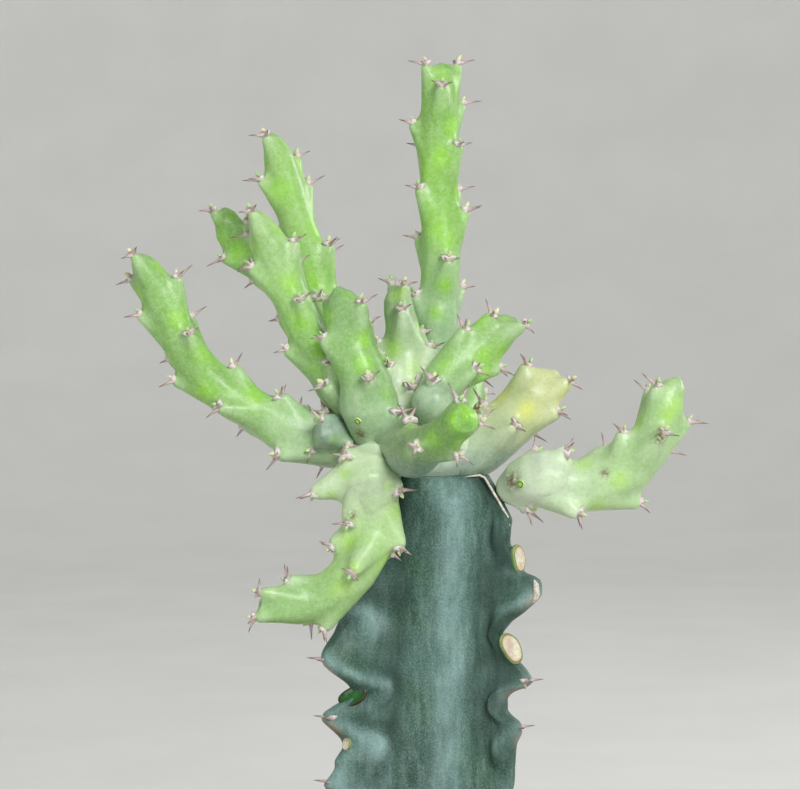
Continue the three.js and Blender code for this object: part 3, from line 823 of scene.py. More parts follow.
def leaf_bud():
    """Leaf rudiments: soft, wet and pale green, yellow to cream where they dry."""
    return finish(
        "soft leaf bud",
        "#9cc384",
        [("#e3e2b4", 1.0, "dryness"), ("#f4f0cf", 0.3, (0.5, 2, 0.35, 0.65))],
        [(1.0, (0.5, 2, 0.35, 0.65))],
        0.04,
        Roughness=0.4,
        IOR=1.4,
        Subsurface_Weight=0.25,
        Subsurface_Radius=(0.8, 1.0, 0.3),
        Subsurface_Scale=0.001,
    )


def fired_clay(clay):
    """Terracotta: fired earthenware, dry and matt, with turning lines and pale salts that the
    damp wall brings out near the foot and under the rim."""
    return finish(
        "terracotta",
        clay,
        [
            ("#c77f55", 1.0, (22, 4, 0.3, 0.7)),
            ("#d99c74", 0.3, (0.8, 3, 0.35, 0.65)),
            ("#8f4e30", 0.25, (16, 2, 0.5, 0.7, 0.12)),
            ("#e3d6c6", 0.5, "damp", (9, 5, 0.4, 0.8)),
        ],
        [(0.6, (18, 2, 0.35, 0.65, 0.06)), (0.4, (0.8, 3, 0.35, 0.65))],
        0.12,
        Roughness=0.88,
        IOR=1.5,
    )


def potting_mix(earth):
    """Cactus soil: dry peat and fine sand, dark brown with paler crumbs."""
    return finish(
        "dry potting soil",
        earth,
        [("#5d4a38", 1.0, (12, 3, 0.35, 0.65)), ("#8a745a", 0.6, (1.6, 5, 0.35, 0.65))],
        [(1.0, (1.6, 5, 0.35, 0.65))],
        0.6,
        Roughness=0.95,
        IOR=1.4,
    )


def grit_stone():
    """Pumice and lava grit: dry, porous pebbles from cream over grey to brown."""
    return finish(
        "pumice and lava grit",
        "#4d4037",
        [
            ("#7d6a58", 1.0, ("shade", 0.05, 0.3)),
            ("#a89b88", 1.0, ("shade", 0.35, 0.6)),
            ("#d8cdb9", 1.0, ("shade", 0.65, 0.95)),
            ("#5a4d41", 0.35, (0.5, 3, 0.35, 0.6)),
        ],
        [(1.0, (0.5, 3, 0.35, 0.6))],
        0.2,
        Roughness=0.9,
        IOR=1.5,
    )


def studio_paper(shade):
    """Seamless photographer's paper: pale, matt, with the faintest mottle."""
    return finish(
        "seamless paper",
        shade,
        [("#dfe0dc", 0.5, (60, 2, 0.35, 0.65))],
        [(1.0, (0.8, 2, 0.35, 0.65))],
        0.03,
        Roughness=0.9,
        IOR=1.45,
    )


# Stems


class Stem:
    """The middle line of a stem from its foot to its tip, and the teeth along it."""

    def __init__(self, name):
        data = STEMS[name]
        self.name = name
        self.facing = Vector(data.get("facing", (0, -1, 0)))
        self.faces_up = "facing" in data
        knots = [Vector(knot[:3]) for knot in data["axis"]]
        radii = [knot[3] for knot in data["axis"]]
        before = 2 * knots[0] - knots[1]
        after = 2 * knots[-1] - knots[-2]
        run = [before, *knots, after]
        self.places, self.radii = [], []
        for index in range(len(knots) - 1):
            p0, p1, p2, p3 = run[index : index + 4]
            last = index == len(knots) - 2
            for step in range(STEM_SAMPLES + last):
                t = step / STEM_SAMPLES
                self.places.append(bent_through(p0, p1, p2, p3, t))
                self.radii.append(radii[index] * (1 - t) + radii[index + 1] * t)
        self.ways = [0.0]
        for one, other in zip(self.places, self.places[1:]):
            self.ways.append(self.ways[-1] + (other - one).length)
        self.length = self.ways[-1]
        self.table = np.array(self.places, float)
        self.teeth = self.all_teeth(data)

    def centre(self, at):
        return Vector([np.interp(at, self.ways, self.table[:, i]) for i in range(3)])

    def radius(self, at):
        return float(np.interp(at, self.ways, self.radii))

    def along(self, at):
        reach = 0.4
        low, high = max(at - reach, 0), min(at + reach, self.length)
        return (self.centre(high) - self.centre(low)).normalized()

    def outward(self, at, turn):
        along = self.along(at)
        front = (self.facing - along * self.facing.dot(along)).normalized()
        side = along.cross(front)
        return front * math.cos(math.radians(turn)) + side * math.sin(math.radians(turn))

    def apex(self, at, turn, reach=TOOTH_REACH):
        lift = max(0, at - self.length + TIP_LIFT_FROM) * TIP_LIFT
        out = self.outward(at, turn) * (self.radius(at) + reach)
        return self.centre(at) + out + self.along(at) * lift

    def all_teeth(self, data):
        """The teeth that show, the large one, and the rule's pairs on the far sides."""
        teeth = [(*tooth, TOOTH_REACH)[:3] for tooth in data["teeth"]]
        if "large" in data:
            teeth.append((*data["large"], LARGE_REACH))
        at, pair = PAIR_FIRST, 0
        while at < self.length - PAIR_LAST_FROM_TIP and "bare" not in data:
            for half in (0, 180):
                turn = 45 + 90 * (pair % 2) + half
                apex = self.apex(at, turn)
                hidden = self.faces_up or math.cos(math.radians(turn)) < 0
                if hidden and all((self.apex(*t) - apex).length > PAIR_CLEAR for t in teeth):
                    teeth.append((at, turn, TOOTH_REACH))
            at, pair = at + PAIR_STEP, pair + 1
        return teeth

    def ring(self, at, radius):
        centre = self.centre(at)
        turns = [360 * s / STEM_SIDES for s in range(STEM_SIDES)]
        return [centre + self.outward(at, turn) * radius for turn in turns]


def tube(stem, start, end, swell):
    """The bare stem between two distances from its foot."""
    count = max(3, round((end - start) / TUBE_STEP))
    ways = [start + (end - start) * level / count for level in range(count + 1)]
    rings = [stem.ring(at, stem.radius(at) * swell) for at in ways]
    return drawn_out("tube", rings)


def tooth_form():
    """A tooth from its root inside the stem, flared below and blunt at the point."""
    profile = [(0, 1.0), (0.25, 0.86), (0.5, 0.64), (0.72, 0.45), (0.9, 0.32), (0.98, 0.24)]
    profile.append((1, 0.12))
    return drawn_out("tooth_form", [hoop(radius, z, 12) for z, radius in profile])


def tooth_on(stem, form, tooth):
    at, turn, reach = tooth
    large = reach == LARGE_REACH
    root_at = max(at - (LARGE_LEAD if large else TOOTH_LEAD), 0)
    foot = stem.centre(root_at)
    apex = stem.apex(*tooth)
    root = stem.radius(root_at) * (LARGE_ROOT if large else TOOTH_ROOT)
    across = stem.along(at).cross(stem.outward(at, turn))
    lean = apex - foot
    edge = lean.normalized().cross(across).normalized()
    return copy_of(form, laid(foot, across, edge, lean, (root, root, 1)))


def stem_body(stem, form, grain, fillet, softening):
    """One stem: tube, rounded ends and teeth, fused. A creased stem is two such bodies."""
    parts = [(0, stem.length)]
    if stem.name in CREASED:
        first_end, next_start = CREASED[stem.name]
        parts = [(0, first_end), (next_start, stem.length)]
    bodies = []
    for index, (start, end) in enumerate(parts):
        low = parts[0][1] if index else -1
        high = math.inf if end == stem.length else end
        pieces = [tube(stem, start, end, AFTER_CREASE if index else 1.0)]
        for at in (start, end):
            dome = TIP_DOME if at == stem.length else END_DOME
            pieces.append(ball("end", stem.centre(at), stem.radius(at) * dome, 8))
        for tooth in stem.teeth:
            if low <= tooth[0] < high:
                pieces.append(tooth_on(stem, form, tooth))
        if stem.name == "stem_centre":
            pieces += [ball("foot", foot[:3], foot[3]) for foot in FOOT_BALLS]
        body = joined("body", pieces)
        grown_together(body, grain, fillet, softening)
        bodies.append(body)
    if stem.name in SIDE_BALL:
        *place, radius = SIDE_BALL[stem.name]
        bodies.append(ball("side_ball", place, radius, 24))
    return joined(stem.name + "_skin", bodies)


def towards_eye():
    """The direction from the middle of the plant to the eye."""
    rise = math.radians(VIEW_RISE)
    return Vector((0, -math.cos(rise), math.sin(rise)))


def seen_through(pixel):
    """The eye's place and its line of sight through a pixel of the photograph, in metres."""
    back = towards_eye()
    right = Vector((1, 0, 0))
    up = right.cross(-back)
    column, row = pixel
    share = SENSOR_WIDTH / VIEW_LENS / PHOTO_WIDTH
    sight = -back + right * (column - PHOTO_WIDTH / 2) * share
    sight += up * (PHOTO_HEIGHT / 2 - row) * share
    return Vector(VIEW_CENTRE) * MM + back * VIEW_DISTANCE * MM, sight.normalized()


def place_on(piece, pixel):
    """Where a line of sight first meets a piece, and which way the surface faces there."""
    found, place, normal, _ = piece.ray_cast(*seen_through(pixel))
    if not found:
        raise ValueError(f"pixel {pixel} doesn't lie on {piece.name}")
    return place / MM, normal.normalized()


def spots(piece, stem, places, marks):
    """1 in the middle of each mark on this stem, fading to 0 around it."""
    layer = np.zeros(len(places))
    for *pixel, size in marks.get(stem.name, ()):
        middle, _ = place_on(piece, pixel)
        gap = np.linalg.norm(places - np.array(middle), axis=1)
        layer = np.maximum(layer, np.exp(-((gap / size) ** 2)))
    return layer


def skin_painting(stem, piece):
    """Where the skin is waxed, thin above a tooth or old, worked out from the teeth and the middle
    line, and where light is painted on its brightest patches.
    """
    places = places_of(piece)
    ways = np.array(stem.ways)
    nearest = np.empty(len(places), int)
    for start in range(0, len(places), BATCH):
        gap = places[start : start + BATCH, None, :] - stem.table[None, ::EVERY_SAMPLE, :]
        nearest[start : start + BATCH] = np.argmin((gap**2).sum(2), axis=1) * EVERY_SAMPLE
    at = ways[nearest]
    reach = np.linalg.norm(places - stem.table[nearest], axis=1)
    height = reach - np.array(stem.radii)[nearest]
    wax = eased(height, *WAX_HEIGHTS) * 0.8
    hollow = np.zeros(len(places))
    for tooth_at, turn, tall in stem.teeth:
        apex = np.array(stem.apex(tooth_at, turn, tall))
        along = np.array(stem.along(tooth_at))
        outward = np.array(stem.outward(tooth_at, turn))
        gap = places - apex
        up = gap @ along
        across = gap @ np.cross(along, outward)
        front = eased(gap @ outward, *WINDOW_DEPTHS)
        above = (up - WINDOW_ABOVE) / WINDOW_HALF_HEIGHT
        window = np.exp(-(above**2) - (across / WINDOW_HALF_WIDTH) ** 2) * front
        hollow = np.maximum(hollow, window)
        wax = np.maximum(wax, 0.9 * np.exp(-((np.linalg.norm(gap, axis=1) / WAX_REACH) ** 2)))
    share = at / stem.length
    foot, middle, tip = (np.array(linear(code)) for code in SKINS[stem.name])
    bands = zip(foot, middle, tip)
    tint = np.column_stack([np.interp(share, TINTS_AT, band) for band in bands])
    if stem.name in GRAFTED:
        dull = 0.85 * (1 - eased(places[:, 2], *GRAFT_HEIGHTS))[:, None]
        tint = tint * (1 - dull) + dull * np.array(linear(GRAFT_TINT))
    if stem.name in SIDE_BALL:
        *centre, radius = SIDE_BALL[stem.name]
        gap = np.linalg.norm(places - np.array(centre), axis=1)
        dull = 1 - eased(gap, radius + 0.2, radius + 1)
        tint = tint * (1 - dull[:, None]) + dull[:, None] * np.array(linear(SIDE_BALL_TINT))
    age = 1 - eased(share, *OLD_SKIN)
    hollow *= 1 - 0.75 * age
    wax = np.maximum(wax, 0.65 * age)
    # Painted light: the brightest patches take the window colour too.
    hollow = np.maximum(hollow, 0.9 * spots(piece, stem, places, WINDOWS_AND_LIGHT_SPOTS))
    stain = spots(piece, stem, places, STAINS)
    painted(piece, tint=tint, hollow=hollow, wax=wax * (1 - hollow), stain=stain)


# Shields, spines and buds


def spine_form():
    """A spine one millimetre long and thick at the root, to be stretched to its size."""
    profile = [(-0.16, 2.0), (0.0, 1.75), (0.14, 1.15), (0.36, 0.78), (0.68, 0.46), (1.0, 0.04)]
    rings = [hoop(radius, z, 6, 1, (0.35 * z * z, 0)) for z, radius in profile]
    form = drawn_out("spine_form", rings)
    places = places_of(form)
    painted(form, point=np.clip(places[:, 2], 0, 1), rim=np.zeros(len(places)))
    return form


def shield_form():
    """The horny shield: a kite with a long tail down the tooth, raised rims and a dished middle."""
    outline = [(0, 0.42), (0.5, 0.6), (1.12, 0.5), (0.74, -0.15), (0.4, -0.85), (0, -1.45)]
    outline += [(-x, y) for x, y in reversed(outline[1:-1])]
    levels = [(1.0, -0.8), (1.03, -0.1), (0.92, 0.12), (0.74, 0.16), (0.4, 0.02)]
    rings = [
        [(x * size, y * size - 0.1, z - 0.26 * x * x - 0.12 * y * y) for x, y in outline]
        for size, z in levels
    ]
    form = drawn_out("shield_form", rings)
    rims = np.repeat([0.2, 0.8, 1.0, 0.6, 0.0], len(outline))
    painted(form, point=np.zeros(len(rims)), rim=rims)
    return form


def bud_form():
    """A leaf rudiment: a fat little scale, flattened and drawn to a soft point."""
    profile = [(-0.35, 0.3), (-0.1, 0.48), (0.2, 0.55), (0.5, 0.46), (0.8, 0.26), (0.98, 0.07)]
    rings = [hoop(radius, z, 8, 0.72, (0, 0.2 * z * z)) for z, radius in profile]
    return drawn_out("bud_form", rings)


def heading_of(stem, tooth):
    """A tooth's apex and its outward, along and across directions."""
    at, turn, _ = tooth
    outward, along = stem.outward(at, turn), stem.along(at)
    return stem.apex(*tooth), outward, along, along.cross(outward)


def draw_again(tooth):
    """A repeatable draw for one tooth, so that its shield keeps its size."""
    return draws(int(tooth[0] * 7 + tooth[1] + 400))


def spine_pair(form, heading_from, lengths, radius, gap, spread, lift):
    """Two spines side by side that spread and lift away from the tooth under them."""
    apex, outward, along, across = heading_from
    pair = []
    for hand, length in zip((-1, 1), lengths):
        heading = (outward + across * hand * spread + along * lift).normalized()
        side = heading.cross(-along).normalized()
        root = apex + across * hand * gap
        size = (radius, radius, length)
        pair.append(copy_of(form, laid(root, side.cross(heading), side, heading, size)))
    return pair


# Rootstock


def stock_point(bearing, out, aside, height):
    turn = math.radians(bearing)
    return Vector(
        (
            STOCK_X + out * math.sin(turn) + aside * math.cos(turn),
            -out * math.cos(turn) + aside * math.sin(turn),
            height,
        )
    )


def margin_reach(wing, height):
    heights, reaches = zip(*wing["margin"])
    return float(np.interp(height, heights, reaches))


def toothness(wing, height):
    """1 where a tooth carries the wing's margin and 0 between the teeth."""
    return np.max([np.exp(-(((height - tooth + 1) / 3.4) ** 2)) for tooth in wing["teeth"]], 0)


def stock_ring(height):
    """The outline at a height: three ruffled wings, with a broad rib between two furrows. The
    ruffles run down from each tooth towards the middle."""
    knots = []
    for wing in WINGS:
        bearing = wing["bearing"]
        reach = margin_reach(wing, height)
        slim = min(1, reach / FULL_WING)
        flank, brow = reach * 0.66, reach * 0.88
        ruffle = RUFFLE * math.sin(height / RUFFLE_LENGTH + bearing) * slim
        inner = (2.4 + 2.3 * toothness(wing, height + 7)) * slim
        outer = (1.6 + 1.6 * toothness(wing, height + 3.5)) * slim
        (before, before_reach), (after, after_reach) = wing["furrows"]
        knots.append(stock_point(bearing - before, before_reach * slim, 0, height))
        if before_reach < 13:
            knots.append(stock_point(bearing, flank, -inner + ruffle * 0.5, height))
        turn, rib_reach = wing["rib"]
        knots += [
            stock_point(bearing, brow, -outer + ruffle, height),
            stock_point(bearing, reach, -HALF_EDGE * slim + ruffle, height),
            stock_point(bearing, reach, HALF_EDGE * slim + ruffle, height),
            stock_point(bearing, brow, outer + ruffle, height),
            stock_point(bearing, flank, inner + ruffle * 0.5, height),
            stock_point(bearing + after, after_reach * slim, 0, height),
            stock_point(bearing + turn, rib_reach * slim, 0, height),
        ]
    ring = []
    for index in range(len(knots)):
        four = [knots[(index + k - 1) % len(knots)] for k in range(4)]
        ring += [bent_through(*four, step / SPAN_PLACES) for step in range(SPAN_PLACES)]
    return ring


def uneven(stock):
    """Shallow dents and swellings, as old flesh has."""
    for corner in stock.data.vertices:
        place = corner.co / MM
        out = Vector((place.x - STOCK_X, place.y, 0)).normalized()
        dents = 0.55 * noise.noise(place / 8) + 0.22 * noise.noise(place / 3)
        corner.co += out * dents * MM


def stock_painting(stock):
    """Where light is painted pale on the old skin, where shade is painted dark in its furrows and
    between its wing teeth, and where it has turned to cork.
    """
    places = places_of(stock)
    across = places[:, 0] - STOCK_X
    deep_in = places[:, 1]
    bearing = np.degrees(np.arctan2(across, -deep_in))
    reach = np.hypot(across, deep_in)
    height = places[:, 2]
    drift = np.array([noise.noise(Vector(p) / 14) for p in places])
    wisps = np.array([noise.noise(Vector(p) / 5 + Vector((9, 9, 9))) for p in places])
    # Painted light: a pale band down the raised middle of the face, where light falls.
    middle = (bearing - 17 - 10 * drift) / 13
    pale = np.exp(-(middle**2)) * (0.8 + 0.6 * wisps)
    deep = np.zeros(len(places))
    cork = np.zeros(len(places))
    for wing in WINGS:
        turn = (bearing - wing["bearing"] + 180) % 360 - 180
        margin = np.interp(height, *zip(*wing["margin"]))
        # Painted shade in the furrows on either side of each wing.
        for side, (furrow, _) in zip((-1, 1), wing["furrows"]):
            gap = (turn * side - furrow + 3 + 6 * drift) / 11
            deep = np.maximum(deep, np.exp(-(gap**2)) * (1.0 + 0.7 * wisps))
        lobe = toothness(wing, height + 0.75 * (margin - reach))
        on_wing = eased(26 - abs(turn), 0, 10)
        outer = eased(reach, wing["lobes"], wing["lobes"] + 2.5)
        low = 1 - eased(height, 110, 121)
        # Painted light on the ridges that run down from the wing teeth, paler all over low on the
        # wings.
        pale = np.maximum(pale, on_wing * outer * (0.9 * lobe - 0.15 + 0.6 * wisps + 0.5 * low))
        # Painted shade between the wing teeth and at the roots of the wings.
        deep = np.maximum(deep, on_wing * outer * (0.55 - 0.7 * lobe))
        root = eased(reach, 9, 12) * (1 - outer) * (1 - 0.8 * eased(height, 138, 150))
        deep = np.maximum(deep, on_wing * root * (0.75 + 0.5 * wisps))
        tip = toothness(wing, height + 1) ** 6 * eased(reach - margin, -1.4, -0.5)
        cork = np.maximum(cork, 0.6 * tip * eased(4 - abs(turn), -2, 2))
    # The painted shade is fainter low down.
    deep *= 0.3 + 0.7 * eased(height, 112, 124)
    pale = np.clip(pale, 0, 1)
    painted(stock, pale=pale, deep=np.clip(deep, 0, 1) * (1 - pale), cork=cork)


def cord_along(path, radius):
    """A thin raised edge along a line of places, tapered to nothing at both ends."""
    rings = []
    for index, place in enumerate(path):
        before, after = path[max(index - 1, 0)], path[min(index + 1, len(path) - 1)]
        along = (after - before).normalized()
        side = along.cross(Vector((0, 1, 0.2))).normalized()
        front = side.cross(along)
        share = index / (len(path) - 1)
        size = radius * (0.25 + 0.75 * math.sin(math.pi * share) ** 0.5)
        turns = turns_of(CORD_SIDES)
        rings.append([place + (side * math.cos(t) + front * math.sin(t)) * size for t in turns])
    return drawn_out("cord", rings)


def cut_form():
    """An oval healed cut: a swollen rim round a shallow dish."""
    levels = [
        (0.3, -3.4, 0.0), (0.75, -1.8, 0.0), (1.05, -0.6, 0.0), (1.08, 0.15, 0.12),
        (0.92, 0.42, 0.4), (0.76, 0.36, 0.7), (0.5, 0.24, 0.9), (0.22, 0.26, 1.0),
    ]
    turns = turns_of(CUT_SIDES)
    rings = [
        [
            (
                size * math.cos(t) * (1 + 0.07 * math.sin(3 * t + size)),
                size * math.sin(t) * (1 + 0.05 * math.cos(2 * t)),
                z,
            )
            for t in turns
        ]
        for size, z, _ in levels
    ]
    form = drawn_out("cut_form", rings)
    painted(form, healing=np.repeat([inside for _, _, inside in levels], len(turns)))
    with_modifier(form, "SUBSURF", levels=1, render_levels=1)
    return form


# Pot and soil


def bore_radius(height):
    foot = POT_BASE_RADIUS - POT_WALL + 0.5
    mouth = POT_RIM_RADIUS - POT_WALL - 0.5
    return foot + (mouth - foot) * (height - POT_FLOOR) / (POT_HEIGHT - 1 - POT_FLOOR)


def soil_height(reach):
    """The crowned top of the soil."""
    return SOIL_TOP + SOIL_CROWN * (1 - (reach / bore_radius(SOIL_TOP)) ** 2)


# Settings


def length_setting(name, description, default):
    return bpy.props.FloatProperty(
        name=name, description=description, default=default, unit="LENGTH"
    )


def power_setting(name, description, default):
    return bpy.props.FloatProperty(
        name=name, description=description, default=default, unit="POWER"
    )


def colour_setting(name, description, code):
    return bpy.props.FloatVectorProperty(
        name=name, description=description, default=linear(code), subtype="COLOR", min=0, max=1
    )


def count_setting(name, description, default, least):
    return bpy.props.IntProperty(
        name=name, description=description, default=default, min=least
    )


class PotSettings(bpy.types.PropertyGroup):
    turned_steps: count_setting("Turned steps", "Sides of the turned pot", 120, 24)
    lip: length_setting("Lip rounding", "Radius of the worn edges", 0.0009)
    clay: colour_setting("Clay", "Colour of the fired clay", "#b9683f")


class SoilSettings(bpy.types.PropertyGroup):
    stones: count_setting("Stones", "How many grit stones lie on the soil", 900, 0)
    smallest: length_setting("Smallest stone", "Half its width", 0.0006)
    largest: length_setting("Largest stone", "Half its width", 0.0021)
    earth: colour_setting("Earth", "Colour of the dry soil", "#4a3a2c")


class StockSettings(bpy.types.PropertyGroup):
    ring_gap: length_setting("Ring gap", "Height between its outlines", 0.0006)
    spine_length: length_setting("Spine length", "Length of its spines", 0.0032)
    skin: colour_setting("Skin", "Colour of the old skin under its wax", "#3d5e53")


class StemSettings(bpy.types.PropertyGroup):
    grain: length_setting("Grain", "Size of the skin's facets", 0.00042)
    fillet: length_setting("Fillet", "Roundness between tooth and stem", 0.0013)
    softening: count_setting("Softening", "How often the skin is smoothed", 8, 0)
    spine_radius: length_setting("Spine radius", "Thickness at the root", 0.00034)
    # The window colour is also the colour of the painted light on the brightest patches.
    window: colour_setting("Window", "Colour of the thin skin above the teeth", "#8fd22e")


class StudioSettings(bpy.types.PropertyGroup):
    key_power: power_setting("Key light", "Power of the large soft light", 11)
    fill_power: power_setting("Fill light", "Power of the light opposite", 2.2)
    edge_power: power_setting("Edge light", "Power of the light behind", 2.8)
    backdrop_power: power_setting("Backdrop light", "Power on the paper", 6)
    sweep: length_setting("Sweep", "Radius of the paper bowl", 1.9)
    paper: colour_setting("Paper", "Colour of the paper", "#e6e6e3")


SETTINGS = {
    "euphorbia_pot": PotSettings,
    "euphorbia_soil": SoilSettings,
    "euphorbia_stock": StockSettings,
    "euphorbia_stems": StemSettings,
    "euphorbia_studio": StudioSettings,
}


# Operators


class EUPHORBIA_OT_pot(bpy.types.Operator):
    """Turn the clay pot"""

    bl_idname = "euphorbia.pot"
    bl_label = "Clay pot"

    def execute(self, context):
        settings = context.scene.euphorbia_pot
        band_foot = POT_HEIGHT - POT_RIM_BAND
        neck = bore_radius(band_foot) + POT_WALL
        profile = [
            (POT_DRAIN_RADIUS, 0),
            (POT_BASE_RADIUS, 0),
            (POT_BASE_RADIUS + 0.5, 1),
            (neck, band_foot),
            (neck + POT_RIM_STEP, band_foot + 1),
            (POT_RIM_RADIUS, POT_HEIGHT - 1),
            (POT_RIM_RADIUS - 1, POT_HEIGHT),
            (bore_radius(POT_HEIGHT) + 1, POT_HEIGHT),
            (bore_radius(POT_HEIGHT - 1), POT_HEIGHT - 1),
            (bore_radius(POT_FLOOR), POT_FLOOR),
            (POT_DRAIN_RADIUS, POT_FLOOR),
        ]
        bpy.ops.object.select_all(action="DESELECT")
        bpy.ops.mesh.primitive_circle_add(vertices=len(profile), radius=0.01, location=(0, 0, 0))
        pot = context.object
        pot.name = pot.data.name = "clay_pot"
        for corner, (reach, height) in zip(pot.data.vertices, profile):
            corner.co = (reach * MM, 0, height * MM)
        bpy.ops.object.mode_set(mode="EDIT")
        bpy.ops.mesh.select_all(action="SELECT")
        bpy.ops.mesh.spin(
            steps=settings.turned_steps, angle=math.tau, center=(0, 0, 0), axis=(0, 0, 1)
        )
        bpy.ops.mesh.select_all(action="SELECT")
        bpy.ops.mesh.remove_doubles(threshold=0.00001)
        bpy.ops.mesh.normals_make_consistent(inside=False)
        bpy.ops.object.mode_set(mode="OBJECT")
        with_modifier(
            pot, "BEVEL", width=settings.lip, segments=3, limit_method="ANGLE", angle_limit=0.4
        )
        places = places_of(pot)
        height = places[:, 2]
        damp = np.exp(-((height / 26) ** 2)) + 0.8 * np.exp(-(((height - 66) / 8) ** 2))
        painted(pot, damp=np.clip(damp + 0.25, 0, 1))
        alone(pot)
        bpy.ops.object.shade_smooth_by_angle(angle=0.6)
        dressed(pot, fired_clay(settings.clay), "clay", "pot", smooth=False)
        return {"FINISHED"}


class EUPHORBIA_OT_soil(bpy.types.Operator):
    """Fill the pot with soil and strew it with grit"""

    bl_idname = "euphorbia.soil"
    bl_label = "Soil and grit"

    def execute(self, context):
        settings = context.scene.euphorbia_soil
        edge = bore_radius(SOIL_TOP) + 0.3
        reaches = [edge * share for share in (1, 0.97, 0.93, 0.88, 0.82)]
        reaches += [edge * s / 16 for s in range(12, 0, -1)]
        rings = [hoop(edge - 4, SOIL_TOP - 12, SOIL_SIDES)]
        rings += [hoop(reach, soil_height(reach), SOIL_SIDES) for reach in reaches]
        soil = drawn_out("potting_soil", rings)
        for corner in soil.data.vertices:
            if corner.co.z > (SOIL_TOP - 1) * MM:
                lumps = noise.noise(corner.co / (5 * MM)) * 0.35
                lumps += noise.noise(corner.co / (1.8 * MM)) * 0.2
                corner.co.z += lumps * MM
        with_modifier(soil, "SUBSURF", levels=1, render_levels=1)
        dressed(soil, potting_mix(settings.earth), "soil", "soil")

        chance = random.Random(GRIT_SEED)
        forms = []
        for variant in range(GRIT_FORMS):
            bpy.ops.object.select_all(action="DESELECT")
            bpy.ops.mesh.primitive_cube_add(size=1.5, location=(0, 0, 0))
            form = context.object
            bpy.ops.object.mode_set(mode="EDIT")
            bpy.ops.mesh.select_all(action="SELECT")
            bpy.ops.mesh.subdivide(number_cuts=1, smoothness=0.9)
            if variant == GRIT_FORMS - 1:
                bpy.ops.mesh.bevel(offset=0.1, segments=1)
            bpy.ops.object.mode_set(mode="OBJECT")
            for corner in form.data.vertices:
                corner.co *= chance.uniform(0.82, 1.15)
            forms.append(form)
        stones = []
        outermost = bore_radius(SOIL_TOP) - 1.2
        while len(stones) < settings.stones:
            share = chance.random() ** 2.2
            size = settings.smallest + (settings.largest - settings.smallest) * share
            reach = outermost * math.sqrt(chance.random())
            turn = chance.uniform(0, math.tau)
            place = Vector((reach * math.cos(turn), reach * math.sin(turn), 0))
            if (place - Vector((STOCK_X, 0, 0))).length < GRIT_FROM_STOCK:
                continue
            place.z = soil_height(reach) + size / MM * 0.15
            spin = Matrix.Rotation(chance.uniform(0, math.tau), 4, "Z")
            spin @= Matrix.Rotation(chance.uniform(-0.5, 0.5), 4, "X")
            shape = Matrix.Diagonal((1, chance.uniform(0.65, 0.95), chance.uniform(0.5, 0.8), 1))
            matrix = Matrix.Translation(place * MM) @ spin @ shape @ Matrix.Scale(size, 4)
            stone = copy_of(forms[len(stones) % len(forms)], matrix)
            shade = chance.random() ** 1.3
            painted(stone, shade=np.full(len(stone.data.vertices), shade))
            stones.append(stone)
        discarded(forms)
        grit = joined("surface_grit", stones)
        alone(grit)
        bpy.ops.object.shade_smooth_by_angle(angle=0.7)
        dressed(grit, grit_stone(), "soil", smooth=False)
        return {"FINISHED"}


class EUPHORBIA_OT_rootstock(bpy.types.Operator):
    """Draw out the three-winged rootstock"""

    bl_idname = "euphorbia.rootstock"
    bl_label = "Rootstock"

    def execute(self, context):
        settings = context.scene.euphorbia_stock
        gap = settings.ring_gap / MM
        foot = SOIL_TOP - 6
        count = round((STOCK_TOP - foot) / gap)
        heights = [foot + (STOCK_TOP - foot) * level / count for level in range(count + 1)]
        stock = drawn_out("rootstock_skin", [stock_ring(height) for height in heights])
        with_modifier(stock, "SMOOTH", factor=0.5, iterations=3)
        uneven(stock)
        stock_painting(stock)
        dressed(stock, stock_skin(settings.skin), "stock_skin", "rootstock")

        wing = WINGS[0]
        edge, lip = (
            [stock_point(wing["bearing"], margin_reach(wing, z) + 0.1, aside, z) for z in heights]
            for heights, aside in ((EDGE_HEIGHTS, -0.9), (LIP_HEIGHTS, -0.5))
        )
        edge += [stock_point(turn, EDGE_TOP_REACH, 0, STOCK_TOP) for turn in EDGE_TOP_BEARINGS]
        cork = [cord_along(edge, EDGE_CORK), cord_along(lip, LIP_CORK)]
        dressed(joined("rootstock_cork", cork), cork_tissue(), "stock_skin")
        return {"FINISHED"}


class EUPHORBIA_OT_healed_cuts(bpy.types.Operator):
    """Model the healed cuts where shoots were taken off the rootstock"""

    bl_idname = "euphorbia.healed_cuts"
    bl_label = "Healed cuts"

    def execute(self, context):
        form = cut_form()
        for name, (bearing, reach, height, facing, up_turn, wide, high, tilt) in CUTS.items():
            turn, rise = math.radians(facing), math.radians(up_turn)
            flat = math.cos(rise)
            outward = Vector((math.sin(turn) * flat, -math.cos(turn) * flat, math.sin(rise)))
            side = Vector((0, 0, 1)).cross(outward).normalized()
            up = outward.cross(side)
            lean = math.radians(tilt)
            long_way = up * math.cos(lean) + side * math.sin(lean)
            place = stock_point(bearing, reach, 0, height)
            size = (wide, high, 1)
            cut = copy_of(form, laid(place, long_way.cross(outward), long_way, outward, size))
            cut.name = cut.data.name = name
            material = wet_scar() if name.startswith("wet") else healed_cut()
            dressed(cut, material, "stock_skin")
        discarded([form])
        return {"FINISHED"}


